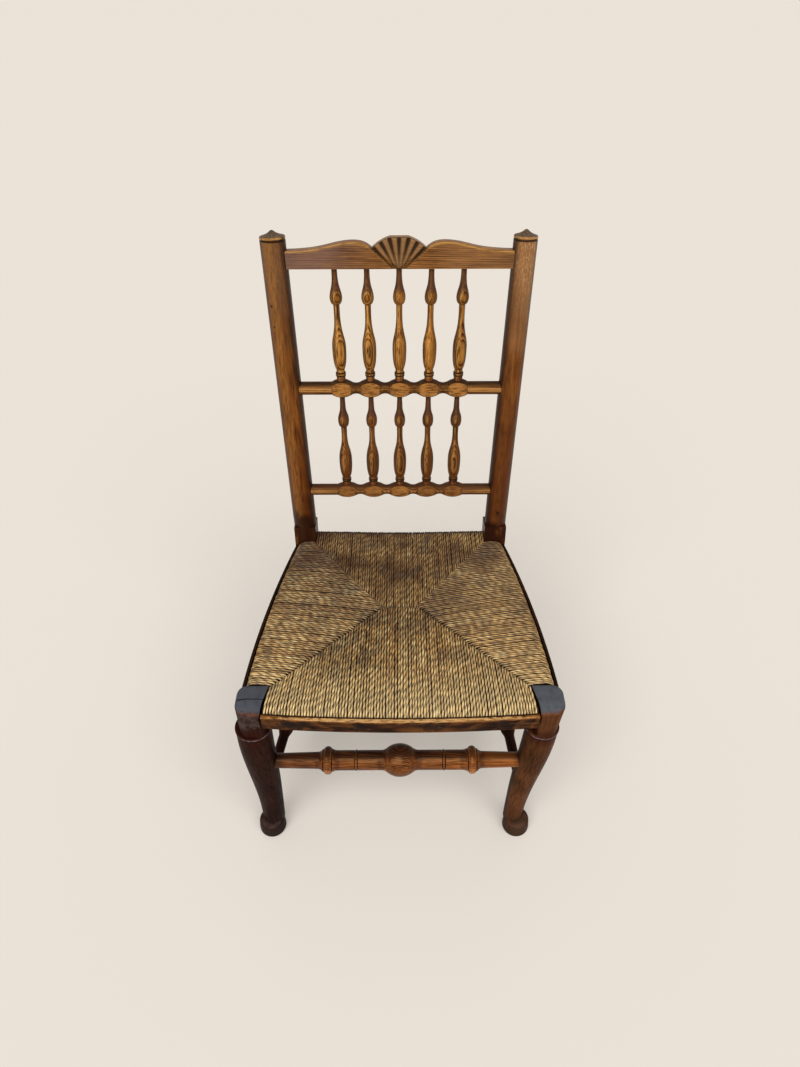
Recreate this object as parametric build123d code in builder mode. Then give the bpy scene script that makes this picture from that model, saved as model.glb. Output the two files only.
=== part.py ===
from build123d import *
import os
from math import cos, radians, sin, sqrt, tan

# A low spindle back chair with a rush seat, in millimetres, +Z up, its front towards -Y.
# The chair is worked out with Y measured back from the front legs' axis. At the end every
# piece moves together, so that the origin lies on the floor under the middle of the chair.

os.makedirs("parts", exist_ok=True)

# The chair as a whole
seat_height = 385.0          # top of the front leg blocks
front_leg_spread = 446.0     # between the axes of the front legs, at the top
back_post_spread = 349.0     # between the axes of the back posts, at the seat
seat_depth = 371.0           # from the front legs' axis to the back posts' axis
back_height = 536.0          # along a back post, from the seat to its tip
back_top_spread = 382.0      # between the tips of the back posts
back_rake = 9.2              # degrees that the back leans
joint_gap = 0.1              # between a tenon and the wall of its socket
soft_gap = 0.3               # between the rush and the wood round it
cut_overrun = 30.0           # how far a cut runs past what it cuts

# Front leg: a block with a rolled top, over a turned club leg with a pad foot
block_width = 49.0
block_depth = 50.0
block_forward = 25.0         # from the leg's axis to the front of the block
block_height = 69.0
block_inner_slant = 11.0     # the inner face leans out towards the front
block_outer_round = 16.0
block_inner_round = 3.0
block_top_roll = 20.0        # quarter round over the front of the top
block_side_roll = 8.0
block_shoulder = 11.5        # turned round under the block
right_block_taper = 6.5      # how far its outer face leans in towards the ring
left_club_radius = 27.5      # the two legs were turned by hand and aren't twins
right_club_radius = 25.2
left_ring_outward = 4.0      # the left club is turned off centre under its block
club_ring_height = 8.0
club_ring_stand = 1.5
club_groove_depth = 1.2
club_groove_width = 1.6
left_ankle_radius = 20.0
right_ankle_radius = 17.5
left_ankle_inward = 4.0      # the ankle stands nearer to the chair's middle than the block
right_ankle_inward = 10.0
ankle_backward = 8.0
foot_radius = 22.8
foot_base_radius = 21.3
foot_top_radius = 15.5
foot_height = 33.0
left_foot_inward = 1.5
right_foot_inward = 3.0
foot_backward = 1.0
leg_lean = 11.5              # the front feet stand that far left of true, as old legs do

# Back post: turned above and below a squared block at the seat
post_radius = 20.0
post_top_radius = 19.0
post_difference = 0.7        # the left post is that much thicker, the right one thinner
post_block_width = 39.0
post_block_above = 26.5      # how far the block stands above the bend at seat height
post_block_below = 66.0
post_foot_radius = 15.0
post_leg_radius = 18.5
post_foot_rake = 2.5         # degrees that the leg runs back below the seat
post_cap_height = 8.0
post_cap_rim = 4.8           # from the groove to the rim
post_cap_round = 2.2
post_tip_radius = 4.0
post_groove_width = 2.4
post_groove_depth = 1.3

# Crest rail, its heights measured from its bottom edge along the slope of the back
crest_bottom = 480.5
crest_thickness = 19.0
crest_end_height = 26.3
crest_slope_height = 31.6    # where the top edge begins to rise to the hump
crest_slope_place = 118.0
crest_hump_height = 39.6
crest_hump_place = 69.0
crest_notch_height = 29.3
crest_notch_place = 41.5
crest_shell_height = 45.4
crest_shell_flat = 14.0
crest_edge_round = 2.5
crest_tenon_thickness = 9.0
crest_tenon_shoulder = 3.0
crest_tenon_depth = 13.0
shell_rays = 7
shell_foot_width = 17.0      # over which the rays start at the bottom edge
ray_foot_radius = 1.4
ray_top_radius = 5.6
ray_stand = 2.4              # how far in front of the face the widest end of a gouge is centred
shell_spread = radians(45)   # lean of the outermost rays
lobe_share = 0.36            # fullness of the shell's rounded shoulders

# Cross rails: turned, with flattened bosses that take the spindles
spindle_count = 5
crest_spacing = 50.0
mid_rail_place = 287.2       # up the slope of the back
mid_rail_radius = 11.0
mid_boss_radius = 15.8
mid_neck_radius = 9.2
mid_neck_round = 16.0
mid_spacing = 48.2
low_rail_place = 95.8
low_rail_radius = 10.2
low_boss_radius = 14.3
low_neck_radius = 8.6
low_neck_round = 15.0
low_spacing = 47.4
boss_facet_share = 0.66      # distance of a facet from the rail's axis
boss_facet_length_share = 0.6
rail_tenon_depth = 16.0

# Spindles
spindle_radius = 11.3
spindle_tenon_depth = 9.0

# Front stretcher
stretcher_height = 211.2
stretcher_tilt = 1.3         # its left end lies that much lower, its right end higher
stretcher_radius = 16.2
ball_radius = 26.8
ball_round = 35.0
ball_flare_round = 14.0
stretcher_offset = -1.0      # of its turning, from the chair's middle
bead_place = 71.8
bead_width = 3.4
bead_stand = 0.9
bead_groove_width = 1.6
bead_groove_depth = 0.7
collar_place = 118.5
collar_radius = 22.6
collar_rim_radius = 17.6
collar_width = 14.0
collar_lip = 1.0             # of the flares beside the collar
collar_flare = 17.0
stretcher_outer_radius = 13.7
stretcher_end_radius = 12.1
stretcher_tenon_depth = 20.0

# Side and back stretchers
side_stretcher_height = 125.0
side_stretcher_end_radius = 9.0
side_stretcher_radius = 13.6
side_stretcher_middle_radius = 14.6
side_stretcher_plain = 92.0
side_stretcher_flare = 20.0
side_tenon_depth = 14.0
back_stretcher_height = 165.0
back_stretcher_end_radius = 9.0
back_stretcher_radius = 12.5
back_tenon_depth = 14.0

# Seat rails, wrapped by the rush
seat_rail_drop = 23.0        # their axis below the tops of the front legs
seat_rail_radius = 12.0
seat_tenon_radius = 6.5
seat_tenon_depth = 9.0
front_rail_place = -4.5      # behind the front legs' axis, at the rail's ends
back_rail_forward = 3.0      # in front of the back posts' axis
side_rail_inward = 3.0       # inside the back posts' axis
front_bow = 10.5
side_rail_bow = 5.5

# Rush seat
rush_thickness = 7.0         # wound round the rails
rush_roll = 13.0             # round of the rush over the rails
rush_front = -20.7           # behind the front legs' axis, at the ends
rush_back = 18.0             # behind the back posts' axis
rush_front_overhang = 17.0   # of the rush past the front legs' axes, at each side
rush_back_overhang = 4.5     # past the back posts' axes
rush_side_bow = 12.0
rush_sag = 7.0               # dip of the middle below the rails
rush_under_sag = 5.0
ridge_half_length = 30.0
ridge_half_width = 1.0
ridge_place = 198.0          # behind the front legs' axis

# Edge strips, nailed over the rush
front_strip_thickness = 7.0
front_strip_height = 27.0
side_strip_thickness = 4.0
side_strip_height = 25.0
strip_rise = 14.0            # top edge above the rails' axis
nail_radius = 1.1
nail_head_radius = 2.6
nail_head_height = 1.0
nail_length = 20.0
front_nail_shares = (0.12, 0.36, 0.62, 0.87)
side_nail_shares = (0.14, 0.5, 0.86)

seat_rail_height = seat_height - seat_rail_drop
rush_front_half_width = front_leg_spread / 2 + rush_front_overhang
rush_back_half_width = back_post_spread / 2 + rush_back_overhang
rush_top = seat_rail_height + seat_rail_radius + rush_thickness
rush_bottom = seat_rail_height - seat_rail_radius - rush_thickness
strip_top = seat_rail_height + strip_rise

sides = {"left": -1, "right": 1}
rake_sine = sin(radians(back_rake))
rake_cosine = cos(radians(back_rake))
back_plane = Plane(
    origin=(0, seat_depth, seat_height), x_dir=(1, 0, 0), z_dir=(0, -rake_cosine, rake_sine)
)


def turning_plane(start, end):
    """The plane of a turned piece's outline: Y runs along its axis, X is its radius."""
    along = (end - start).normalized()
    across = Vector(1, 0, 0) if abs(along.X) < abs(along.Y) + abs(along.Z) else Vector(0, 0, 1)
    normal = along.cross(across).normalized()
    return Plane(origin=start, x_dir=along.cross(normal), z_dir=normal)


def turning_axis(plane):
    return Axis(plane.origin, plane.y_dir)


def socket(tip, outward, radius, depth):
    """The hollow of a round socket, from a tenon's tip to well outside its leg."""
    with BuildPart() as hollow:
        with BuildSketch(Plane(origin=tip, z_dir=outward).offset(-joint_gap)):
            Circle(radius + joint_gap)
        extrude(amount=depth + cut_overrun)
    return hollow.part


# The axis of each back post, and of its leg below the seat
def post_point(side, up):
    half = (back_post_spread + (back_top_spread - back_post_spread) * up / back_height) / 2
    return back_plane.from_local_coords(Vector(side * half, up, 0))


def back_leg_point(side, height):
    back = seat_depth + (seat_height - height) * tan(radians(post_foot_rake))
    return Vector(side * back_post_spread / 2, back, height)


def either(side, left, right):
    """The value for the left leg, or for the right one."""
    return left if side < 0 else right


# The club leg's sections: shares of its height, of its thinning and of its drift to the ankle
club_top = seat_height - block_height
club_shares = ((1.0, 0.0, 0.0), (0.85, 0.0, 0.04), (0.56, 0.4, 0.56), (0.22, 1.0, 1.0), (0.08, 1.08, 1.0))


def club_section(side, height):
    """Radius and drift of a club leg at a height, read between its sections."""
    top = either(side, left_club_radius, right_club_radius)
    ankle = either(side, left_ankle_radius, right_ankle_radius)
    share = height / club_top
    for upper, lower in zip(club_shares, club_shares[1:]):
        if share >= lower[0]:
            break
    blend = (upper[0] - share) / (upper[0] - lower[0])
    thinning = upper[1] + (lower[1] - upper[1]) * blend
    return top + (ankle - top) * thinning, upper[2] + (lower[2] - upper[2]) * blend


def leg_shift(height):
    """How far a leaning front leg stands to the left at a height."""
    return leg_lean * (seat_height - height) / seat_height


def club_point(side, height):
    drift = club_section(side, height)[1]
    ring = front_leg_spread / 2 + either(side, left_ring_outward, 0)
    ankle = front_leg_spread / 2 - either(side, left_ankle_inward, right_ankle_inward)
    across = ring + (ankle - ring) * drift
    return Vector(side * across - leg_shift(height), ankle_backward * drift, height)


# Where the blocks of the front legs lie
block_outer = front_leg_spread / 2 + block_width / 2
block_inner = block_outer - block_width
block_front = -block_forward
block_back = block_front + block_depth


def block_plan(side, extra=0, taper=0):
    """Plan of a front leg's block, or of the room that it takes."""
    outer = block_outer + extra - taper
    corners = [
        (side * (block_inner - extra), block_back + extra),
        (side * outer, block_back + extra),
        (side * outer, block_front - extra),
        (side * (block_inner + block_inner_slant - extra), block_front - extra),
    ]
    rounds = [0, block_outer_round, block_outer_round, block_inner_round]
    with BuildSketch() as plan:
        with BuildLine():
            FilletPolyline(*corners, radius=rounds, close=True)
        make_face()
    return plan.sketch


# The seat rails' axes, between the shoulders of their tenons
front_rail_half = block_inner + block_inner_slant / 2
back_rail_half = back_post_spread / 2 - post_block_width / 2
side_rail_front = Vector(front_leg_spread / 2 - block_inner_slant / 2, block_back, seat_rail_height)
post_front = seat_depth - post_block_width / 2
side_rail_back = Vector(back_post_spread / 2 - side_rail_inward, post_front, seat_rail_height)
side_rail_middle = (side_rail_front + side_rail_back) / 2 + Vector(side_rail_bow, 0, 0)


def across(point, side):
    return Vector(side * point.X, point.Y, point.Z)


def seat_rail_axis(name):
    """The edge that a seat rail follows. All but the back rail are bowed outwards."""
    if name == "front":
        end = Vector(front_rail_half, front_rail_place, seat_rail_height)
        middle = Vector(0, front_rail_place - front_bow, seat_rail_height)
        return Edge.make_three_point_arc(across(end, -1), middle, end)
    if name == "back":
        end = Vector(back_rail_half, seat_depth - back_rail_forward, seat_rail_height)
        return Edge.make_line(across(end, -1), end)
    points = [across(p, sides[name]) for p in (side_rail_front, side_rail_middle, side_rail_back)]
    return Edge.make_three_point_arc(*points)


def seat_tenon(name, end):
    """Tip of the tenon at the start (0) or the end (1) of a seat rail, and the way out of it."""
    axis = seat_rail_axis(name)
    outward = (axis % end) * (1 if end == 0 else -1)
    return axis @ end - outward * seat_tenon_depth, outward


# The tips of the stretchers' and cross rails' tenons, on the axes of their legs
def stretcher_tip(side):
    leg = club_point(side, stretcher_height + side * stretcher_tilt)
    reach = abs(leg.X) - club_section(side, leg.Z)[0] + stretcher_tenon_depth
    return Vector(side * reach, leg.Y, leg.Z)


def side_stretcher_tips(side):
    front = club_point(side, side_stretcher_height)
    back = back_leg_point(side, side_stretcher_height)
    along = (back - front).normalized()
    front_tip = front + along * (club_section(side, front.Z)[0] - side_tenon_depth)
    back_tip = back - along * (post_foot_radius - side_tenon_depth)
    return front_tip, back_tip


def back_stretcher_tip(side):
    leg = back_leg_point(side, back_stretcher_height)
    return leg - Vector(side * (post_foot_radius - back_tenon_depth), 0, 0)


def cross_rail_tip(side, place):
    return post_point(side, place) - Vector(side * (post_radius - rail_tenon_depth), 0, 0)


def front_leg(side):
    """Block, ring, club and pad foot of a front leg, with its four sockets."""
    foot_inward = either(side, left_foot_inward, right_foot_inward)
    foot_across = side * (front_leg_spread / 2 - foot_inward) - leg_shift(0)
    ring_across = club_point(side, club_top).X
    ring_plane = Plane(origin=(ring_across, 0, 0), x_dir=(1, 0, 0), z_dir=(0, -1, 0))
    club_radius = either(side, left_club_radius, right_club_radius)
    top_plan = block_plan(side)
    bottom_plan = block_plan(side, taper=either(side, 0, right_block_taper))
    across_tips = stretcher_tip(-side) - stretcher_tip(side)
    front_end, side_name = (0, "left") if side < 0 else (1, "right")
    front_tip, back_tip = side_stretcher_tips(side)
    sockets = [
        socket(*seat_tenon("front", front_end), seat_tenon_radius, seat_tenon_depth),
        socket(*seat_tenon(side_name, 0), seat_tenon_radius, seat_tenon_depth),
        socket(stretcher_tip(side), across_tips, stretcher_end_radius, stretcher_tenon_depth),
        socket(front_tip, back_tip - front_tip, side_stretcher_end_radius, side_tenon_depth),
    ]
    with BuildPart() as leg:
        with BuildSketch(Plane.XY.offset(club_top)):
            add(bottom_plan)
        with BuildSketch(Plane.XY.offset(seat_height)):
            add(top_plan)
        loft(ruled=True)
        # The top rolls over towards the front and, less, towards the outside
        with BuildSketch(Plane.YZ):
            with BuildLine():
                Line(
                    (block_front + block_top_roll, seat_height),
                    (block_front + block_top_roll, seat_height + cut_overrun),
                )
                Line(
                    (block_front + block_top_roll, seat_height + cut_overrun),
                    (block_front - cut_overrun, seat_height + cut_overrun),
                )
                Line(
                    (block_front - cut_overrun, seat_height + cut_overrun),
                    (block_front - cut_overrun, seat_height - block_top_roll),
                )
                Line(
                    (block_front - cut_overrun, seat_height - block_top_roll),
                    (block_front, seat_height - block_top_roll),
                )
                TangentArc(
                    (block_front, seat_height - block_top_roll),
                    (block_front + block_top_roll, seat_height),
                    tangent=(0, 1),
                )
            make_face()
        extrude(amount=block_outer + cut_overrun, both=True, mode=Mode.SUBTRACT)
        fillet(
            leg.edges().group_by(Axis.Z)[-1].sort_by(Axis.X)[0 if side < 0 else -1],
            block_side_roll,
        )
        # The block's corners are turned off above the ring
        shoulder_foot = (club_radius - club_groove_depth, club_top)
        shoulder_rim = (shoulder_foot[0] + block_shoulder, club_top + block_shoulder)
        with BuildSketch(ring_plane):
            with BuildLine():
                TangentArc(shoulder_foot, shoulder_rim, tangent=(1, 0))
                Polyline(
                    shoulder_rim,
                    (shoulder_rim[0] + cut_overrun, shoulder_rim[1]),
                    (shoulder_rim[0] + cut_overrun, club_top - cut_overrun),
                    (shoulder_foot[0], club_top - cut_overrun),
                    shoulder_foot,
                )
            make_face()
        revolve(axis=turning_axis(ring_plane), mode=Mode.SUBTRACT)
        # The club is drawn through circles that drift inwards and back to the ankle
        for share, _, _ in club_shares:
            centre = club_point(side, share * club_top)
            with BuildSketch(Plane.XY.offset(centre.Z)):
                with Locations((centre.X, centre.Y)):
                    Circle(club_section(side, centre.Z)[0])
        loft()
        # A bead between two fine grooves marks the top of the club
        bead_bottom = club_top - club_ring_height
        with BuildSketch(ring_plane):
            with BuildLine():
                Line((0, bead_bottom), (club_radius, bead_bottom))
                ThreePointArc(
                    (club_radius, bead_bottom),
                    (club_radius + club_ring_stand, bead_bottom + club_ring_height / 2),
                    (club_radius, club_top),
                )
                Polyline((club_radius, club_top), (0, club_top), (0, bead_bottom))
            make_face()
        revolve(axis=turning_axis(ring_plane))
        with BuildSketch(ring_plane):
            with Locations((club_radius, bead_bottom - club_groove_width / 2)):
                Rectangle(2 * club_groove_depth, club_groove_width)
        revolve(axis=turning_axis(ring_plane), mode=Mode.SUBTRACT)
        # The pad foot is turned about a centre between the ankle's and the block's
        foot_plane = Plane(
            origin=(foot_across, foot_backward, 0), x_dir=(1, 0, 0), z_dir=(0, -1, 0)
        )
        with BuildSketch(foot_plane):
            with BuildLine():
                Line((0, 0), (foot_base_radius, 0))
                Spline(
                    (foot_base_radius, 0),
                    (foot_radius, foot_height / 2),
                    (foot_top_radius, foot_height),
                    tangents=((1, 1), (-1, 0.2)),
                )
                Polyline((foot_top_radius, foot_height), (0, foot_height), (0, 0))
            make_face()
        revolve(axis=turning_axis(foot_plane))
        add(sockets, mode=Mode.SUBTRACT)
    return leg.part


def post_shaft(side, extra=0):
    """The plain turned shaft of a post above the seat, or the room that it takes."""
    plane = turning_plane(post_point(side, 0), post_point(side, back_height))
    stand = extra - side * post_difference
    with BuildPart() as shaft:
        with BuildSketch(plane):
            with BuildLine():
                Polyline(
                    (0, 0),
                    (post_radius + stand, 0),
                    (post_top_radius + stand, back_height - post_cap_height - post_cap_rim),
                    (0, back_height - post_cap_height - post_cap_rim),
                    close=True,
                )
            make_face()
        revolve(axis=turning_axis(plane))
    return shaft.part


def crest_tenon(side, extra=0):
    """The flat tenon at one end of the crest rail, or the mortise that takes it."""
    middle_up = crest_bottom + crest_end_height / 2
    post = post_point(side, middle_up)
    tip = abs(post.X) - post_top_radius + crest_tenon_depth + extra
    root = tip - crest_tenon_depth - post_top_radius
    with BuildPart() as tenon:
        with BuildSketch(back_plane):
            with Locations((side * (tip + root) / 2, middle_up)):
                Rectangle(tip - root, crest_end_height - 2 * crest_tenon_shoulder + 2 * extra)
        extrude(amount=crest_tenon_thickness / 2 + extra, both=True)
    return tenon.part


def back_post(side):
    """A back post: leg, squared block, raked shaft with its cap, and all its sockets."""
    shaft = post_shaft(side)
    mortise = crest_tenon(side, joint_gap)
    inward = Vector(-side, 0, 0)
    side_name, back_end = ("left", 0) if side < 0 else ("right", 1)
    front_tip, back_tip = side_stretcher_tips(side)
    sockets = [
        socket(cross_rail_tip(side, mid_rail_place), inward, mid_rail_radius, rail_tenon_depth),
        socket(cross_rail_tip(side, low_rail_place), inward, low_rail_radius, rail_tenon_depth),
        socket(*seat_tenon("back", back_end), seat_tenon_radius, seat_tenon_depth),
        socket(*seat_tenon(side_name, 1), seat_tenon_radius, seat_tenon_depth),
        socket(back_tip, front_tip - back_tip, side_stretcher_end_radius, side_tenon_depth),
        socket(back_stretcher_tip(side), inward, back_stretcher_end_radius, back_tenon_depth),
    ]
    with BuildPart() as post:
        # The block is bent with the post at the seat
        front = seat_depth - post_block_width / 2
        back = seat_depth + post_block_width / 2
        block_low = seat_height - post_block_below
        shoulder_front = back_plane.from_local_coords(
            Vector(0, post_block_above, post_block_width / 2)
        )
        shoulder_back = back_plane.from_local_coords(
            Vector(0, post_block_above, -post_block_width / 2)
        )
        with BuildSketch(Plane.YZ.offset(side * back_post_spread / 2)):
            with BuildLine():
                Polyline(
                    (front, block_low),
                    (front, seat_height),
                    (shoulder_front.Y, shoulder_front.Z),
                    (shoulder_back.Y, shoulder_back.Z),
                    (back, seat_height),
                    (back, block_low),
                    close=True,
                )
            make_face()
        extrude(amount=post_block_width / 2, both=True)
        add(shaft)
        # The cap: a dark groove, a rim and a low cone
        top_radius = post_top_radius - side * post_difference
        plane = turning_plane(post_point(side, 0), post_point(side, back_height))
        groove = back_height - post_cap_height - post_cap_rim
        rim = back_height - post_cap_height
        with BuildSketch(plane):
            with BuildLine():
                Line((0, groove), (top_radius, groove))
                Line((top_radius, groove), (top_radius, rim - post_cap_round))
                TangentArc(
                    (top_radius, rim - post_cap_round),
                    (top_radius - post_cap_round, rim),
                    tangent=(0, 1),
                )
                Spline(
                    (top_radius - post_cap_round, rim),
                    (post_tip_radius, back_height - post_tip_radius / 2),
                    (0, back_height),
                    tangents=((-1, 0.3), (-1, 0)),
                )
                Line((0, back_height), (0, groove))
            make_face()
        revolve(axis=turning_axis(plane))
        with BuildSketch(plane):
            with Locations((top_radius, groove)):
                Rectangle(2 * post_groove_depth, post_groove_width)
        revolve(axis=turning_axis(plane), mode=Mode.SUBTRACT)
        # The leg below the block tapers to the floor
        leg_plane = turning_plane(back_leg_point(side, seat_height), back_leg_point(side, 0))
        leg_length = (back_leg_point(side, 0) - back_leg_point(side, seat_height)).length
        with BuildSketch(leg_plane):
            with BuildLine():
                Polyline(
                    (0, post_block_below / 2),
                    (post_leg_radius, post_block_below / 2),
                    (post_leg_radius, post_block_below),
                    (post_foot_radius, leg_length),
                    (post_foot_radius, leg_length + cut_overrun),
                    (0, leg_length + cut_overrun),
                    close=True,
                )
            make_face()
        revolve(axis=turning_axis(leg_plane))
        split(bisect_by=Plane.XY, keep=Keep.TOP)
        add(sockets, mode=Mode.SUBTRACT)
        add(mortise, mode=Mode.SUBTRACT)
    return post.part


def flank(peak, peak_round, neck, neck_round):
    """How far a rounded boss reaches to its neck, and where its two arcs meet."""
    rise = neck + neck_round - peak + peak_round
    reach = sqrt((peak_round + neck_round) ** 2 - rise**2)
    meet = peak_round / (peak_round + neck_round)
    return reach, reach * meet, peak - peak_round + rise * meet


def boss_round(peak, neck, neck_round, reach):
    """The round of a boss that meets its neck at a given reach."""
    drop = peak - neck
    return (reach**2 + drop**2 - 2 * drop * neck_round) / (2 * drop)


# Outlines of the spindles: share of the visible length from the foot up, share of the widest
# radius. A collar at the foot, a long baluster, a sharp step and a small teardrop above it.
upper_shares = (
    ((0.0, 0.64), (0.03, 0.66), (0.035, 0.74), (0.066, 0.74), (0.072, 0.6)),
    (
        (0.095, 0.6), (0.15, 0.86), (0.22, 0.975), (0.29, 1.0), (0.355, 0.94),
        (0.43, 0.69), (0.5, 0.51), (0.59, 0.43), (0.685, 0.44),
    ),
    ((0.7, 0.68), (0.742, 0.87), (0.79, 0.8), (0.85, 0.55), (0.91, 0.42), (0.955, 0.39)),
)
lower_shares = (
    ((0.0, 0.66), (0.024, 0.66), (0.03, 0.72), (0.06, 0.72), (0.068, 0.63)),
    (
        (0.08, 0.65), (0.135, 0.86), (0.2, 0.965), (0.265, 0.99), (0.32, 0.965),
        (0.4, 0.78), (0.46, 0.57), (0.52, 0.46), (0.6, 0.425), (0.665, 0.45),
    ),
    ((0.685, 0.68), (0.745, 0.83), (0.79, 0.76), (0.85, 0.5), (0.91, 0.42), (0.96, 0.385)),
)
# For each row: the rail below with its spacing and boss, the rail above, and the outline
spindle_rows = {
    "upper": (
        (mid_rail_place, mid_spacing, mid_boss_radius),
        (crest_bottom, crest_spacing, 0),
        upper_shares,
    ),
    "lower": (
        (low_rail_place, low_spacing, low_boss_radius),
        (mid_rail_place, mid_spacing, mid_boss_radius),
        lower_shares,
    ),
}


def spindle_tips(row, index):
    """The two ends of a spindle, inside the rails below and above it."""
    (low_place, low_step, low_stand), (high_place, high_step, high_stand), _ = spindle_rows[row]
    step = index - (spindle_count - 1) / 2
    foot = Vector(step * low_step, low_place, 0)
    top = Vector(step * high_step, high_place, 0)
    along = (top - foot).normalized()
    foot_tip = foot + along * (low_stand - spindle_tenon_depth)
    top_tip = top - along * (high_stand - spindle_tenon_depth)
    return back_plane.from_local_coords(foot_tip), back_plane.from_local_coords(top_tip)


def foot_socket(row, index):
    foot_tip, top_tip = spindle_tips(row, index)
    radius = spindle_rows[row][2][0][0][1] * spindle_radius
    return socket(foot_tip, top_tip - foot_tip, radius, spindle_tenon_depth)


def top_socket(row, index):
    foot_tip, top_tip = spindle_tips(row, index)
    radius = spindle_rows[row][2][-1][-1][1] * spindle_radius
    return socket(top_tip, foot_tip - top_tip, radius, spindle_tenon_depth)


def spindle(row, index):
    """One turned spindle, its ends let into the rails below and above."""
    foot_tip, top_tip = spindle_tips(row, index)
    plane = turning_plane(foot_tip, top_tip)
    length = (top_tip - foot_tip).length
    visible = length - 2 * spindle_tenon_depth
    collar, baluster, teardrop = [
        [(radius * spindle_radius, spindle_tenon_depth + up * visible) for up, radius in table]
        for table in spindle_rows[row][2]
    ]
    with BuildPart() as turned:
        with BuildSketch(plane):
            with BuildLine():
                Polyline((0, length), (0, 0), (collar[0][0], 0), *collar, baluster[0])
                Spline(*baluster)
                Line(baluster[-1], teardrop[0])
                Spline(*teardrop)
                Polyline(teardrop[-1], (teardrop[-1][0], length), (0, length))
            make_face()
        revolve(axis=turning_axis(plane))
    return turned.part


def cross_rail(place, radius, peak, neck, neck_round, spacing, spindle_sockets):
    """A turned cross rail with a boss for each spindle, flattened in front and behind."""
    start, end = cross_rail_tip(-1, place), cross_rail_tip(1, place)
    plane = turning_plane(start, end)
    length = (end - start).length
    peak_round = boss_round(peak, neck, neck_round, spacing / 2)
    _, meet_place, meet_radius = flank(peak, peak_round, neck, neck_round)
    shoulder = sqrt(peak_round**2 - (peak_round - peak + radius) ** 2)
    steps = [index - (spindle_count - 1) / 2 for index in range(spindle_count)]
    centres = [length / 2 + step * spacing for step in steps]
    # Each boss runs from the neck or plain end before it to the one after it
    lows = [(meet_radius, centre - meet_place) for centre in centres]
    highs = [(meet_radius, centre + meet_place) for centre in centres]
    lows[0] = (radius, centres[0] - shoulder)
    highs[-1] = (radius, centres[-1] + shoulder)
    with BuildPart() as rail:
        with BuildSketch(plane):
            with BuildLine():
                Polyline(lows[0], (radius, 0), (0, 0), (0, length), (radius, length), highs[-1])
                for low, centre, high in zip(lows, centres, highs):
                    ThreePointArc(low, (peak, centre), high)
                for high, low in zip(highs, lows[1:]):
                    ThreePointArc(high, (neck, (high[1] + low[1]) / 2), low)
            make_face()
        revolve(axis=turning_axis(plane))
        for face in (-1, 1):
            facet_plane = back_plane.offset(face * peak * boss_facet_share)
            with BuildSketch(facet_plane):
                with Locations([(step * spacing, place) for step in steps]):
                    Rectangle(spacing * boss_facet_length_share, 2 * peak)
            extrude(amount=face * peak, mode=Mode.SUBTRACT)
        add(spindle_sockets, mode=Mode.SUBTRACT)
    return rail.part


crest_plane = Plane(
    origin=back_plane.from_local_coords(Vector(0, crest_bottom, 0)),
    x_dir=back_plane.x_dir,
    z_dir=back_plane.z_dir,
)


def shell_ray(index):
    """One gouge of the shell: a cone that widens from the bottom edge to the top of the shell."""
    step = 2 * index / (shell_rays - 1) - 1
    lean = step * shell_spread
    foot = Vector(step * shell_foot_width / 2, 0, crest_thickness / 2)
    reach = crest_shell_height + ray_top_radius
    top = foot + Vector(sin(lean), cos(lean), 0) * reach
    top.Z += ray_stand
    foot, top = crest_plane.from_local_coords(foot), crest_plane.from_local_coords(top)
    plane = turning_plane(foot, top)
    with BuildPart() as gouge:
        with BuildSketch(plane):
            with BuildLine():
                Polyline(
                    (0, 0), (ray_foot_radius, 0), (ray_top_radius, reach), (0, reach), close=True
                )
            make_face()
        revolve(axis=turning_axis(plane))
    return gouge.part


def crest_outline(drop=0):
    """The crest rail seen square on. The top edge is lowered where the front is eased."""
    far = back_top_spread / 2
    hump, notch = crest_hump_height - drop, crest_notch_height - drop
    shell, end = crest_shell_height - drop, crest_end_height - drop
    slope = (crest_slope_place, crest_slope_height - drop)
    shoulder = ((crest_notch_place + crest_shell_flat) / 2, shell - (shell - notch) * lobe_share)
    with BuildSketch() as outline:
        with BuildLine():
            Polyline((0, 0), (far, 0), (far, end))
            Spline((far, end), slope, (crest_hump_place, hump), tangents=((-1, 0), (-1, 0)))
            Spline(
                (crest_hump_place, hump), (crest_notch_place, notch), tangents=((-1, 0), (-1, -1))
            )
            ThreePointArc((crest_notch_place, notch), shoulder, (crest_shell_flat, shell))
            Line((crest_shell_flat, shell), (0, shell))
            mirror(about=Plane.YZ)
        make_face()
    return outline.sketch


def crest_rail():
    """The shaped crest rail with its gouged shell, scribed round the posts."""
    gouges = [shell_ray(index) for index in range(shell_rays)]
    rooms = [post_shaft(side, joint_gap) for side in sides.values()]
    tenons = [crest_tenon(side) for side in sides.values()]
    sockets = [top_socket("upper", index) for index in range(spindle_count)]
    face = crest_plane.offset(crest_thickness / 2)
    with BuildPart() as crest:
        with BuildSketch(face.offset(-crest_thickness)):
            add(crest_outline())
        extrude(amount=crest_thickness - crest_edge_round)
        # The front of the top edge is eased
        with BuildSketch(face.offset(-crest_edge_round)):
            add(crest_outline())
        with BuildSketch(face):
            add(crest_outline(crest_edge_round))
        loft(ruled=True)
        add(gouges, mode=Mode.SUBTRACT)
        add(rooms, mode=Mode.SUBTRACT)
        add(tenons)
        add(sockets, mode=Mode.SUBTRACT)
    return crest.part


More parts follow.
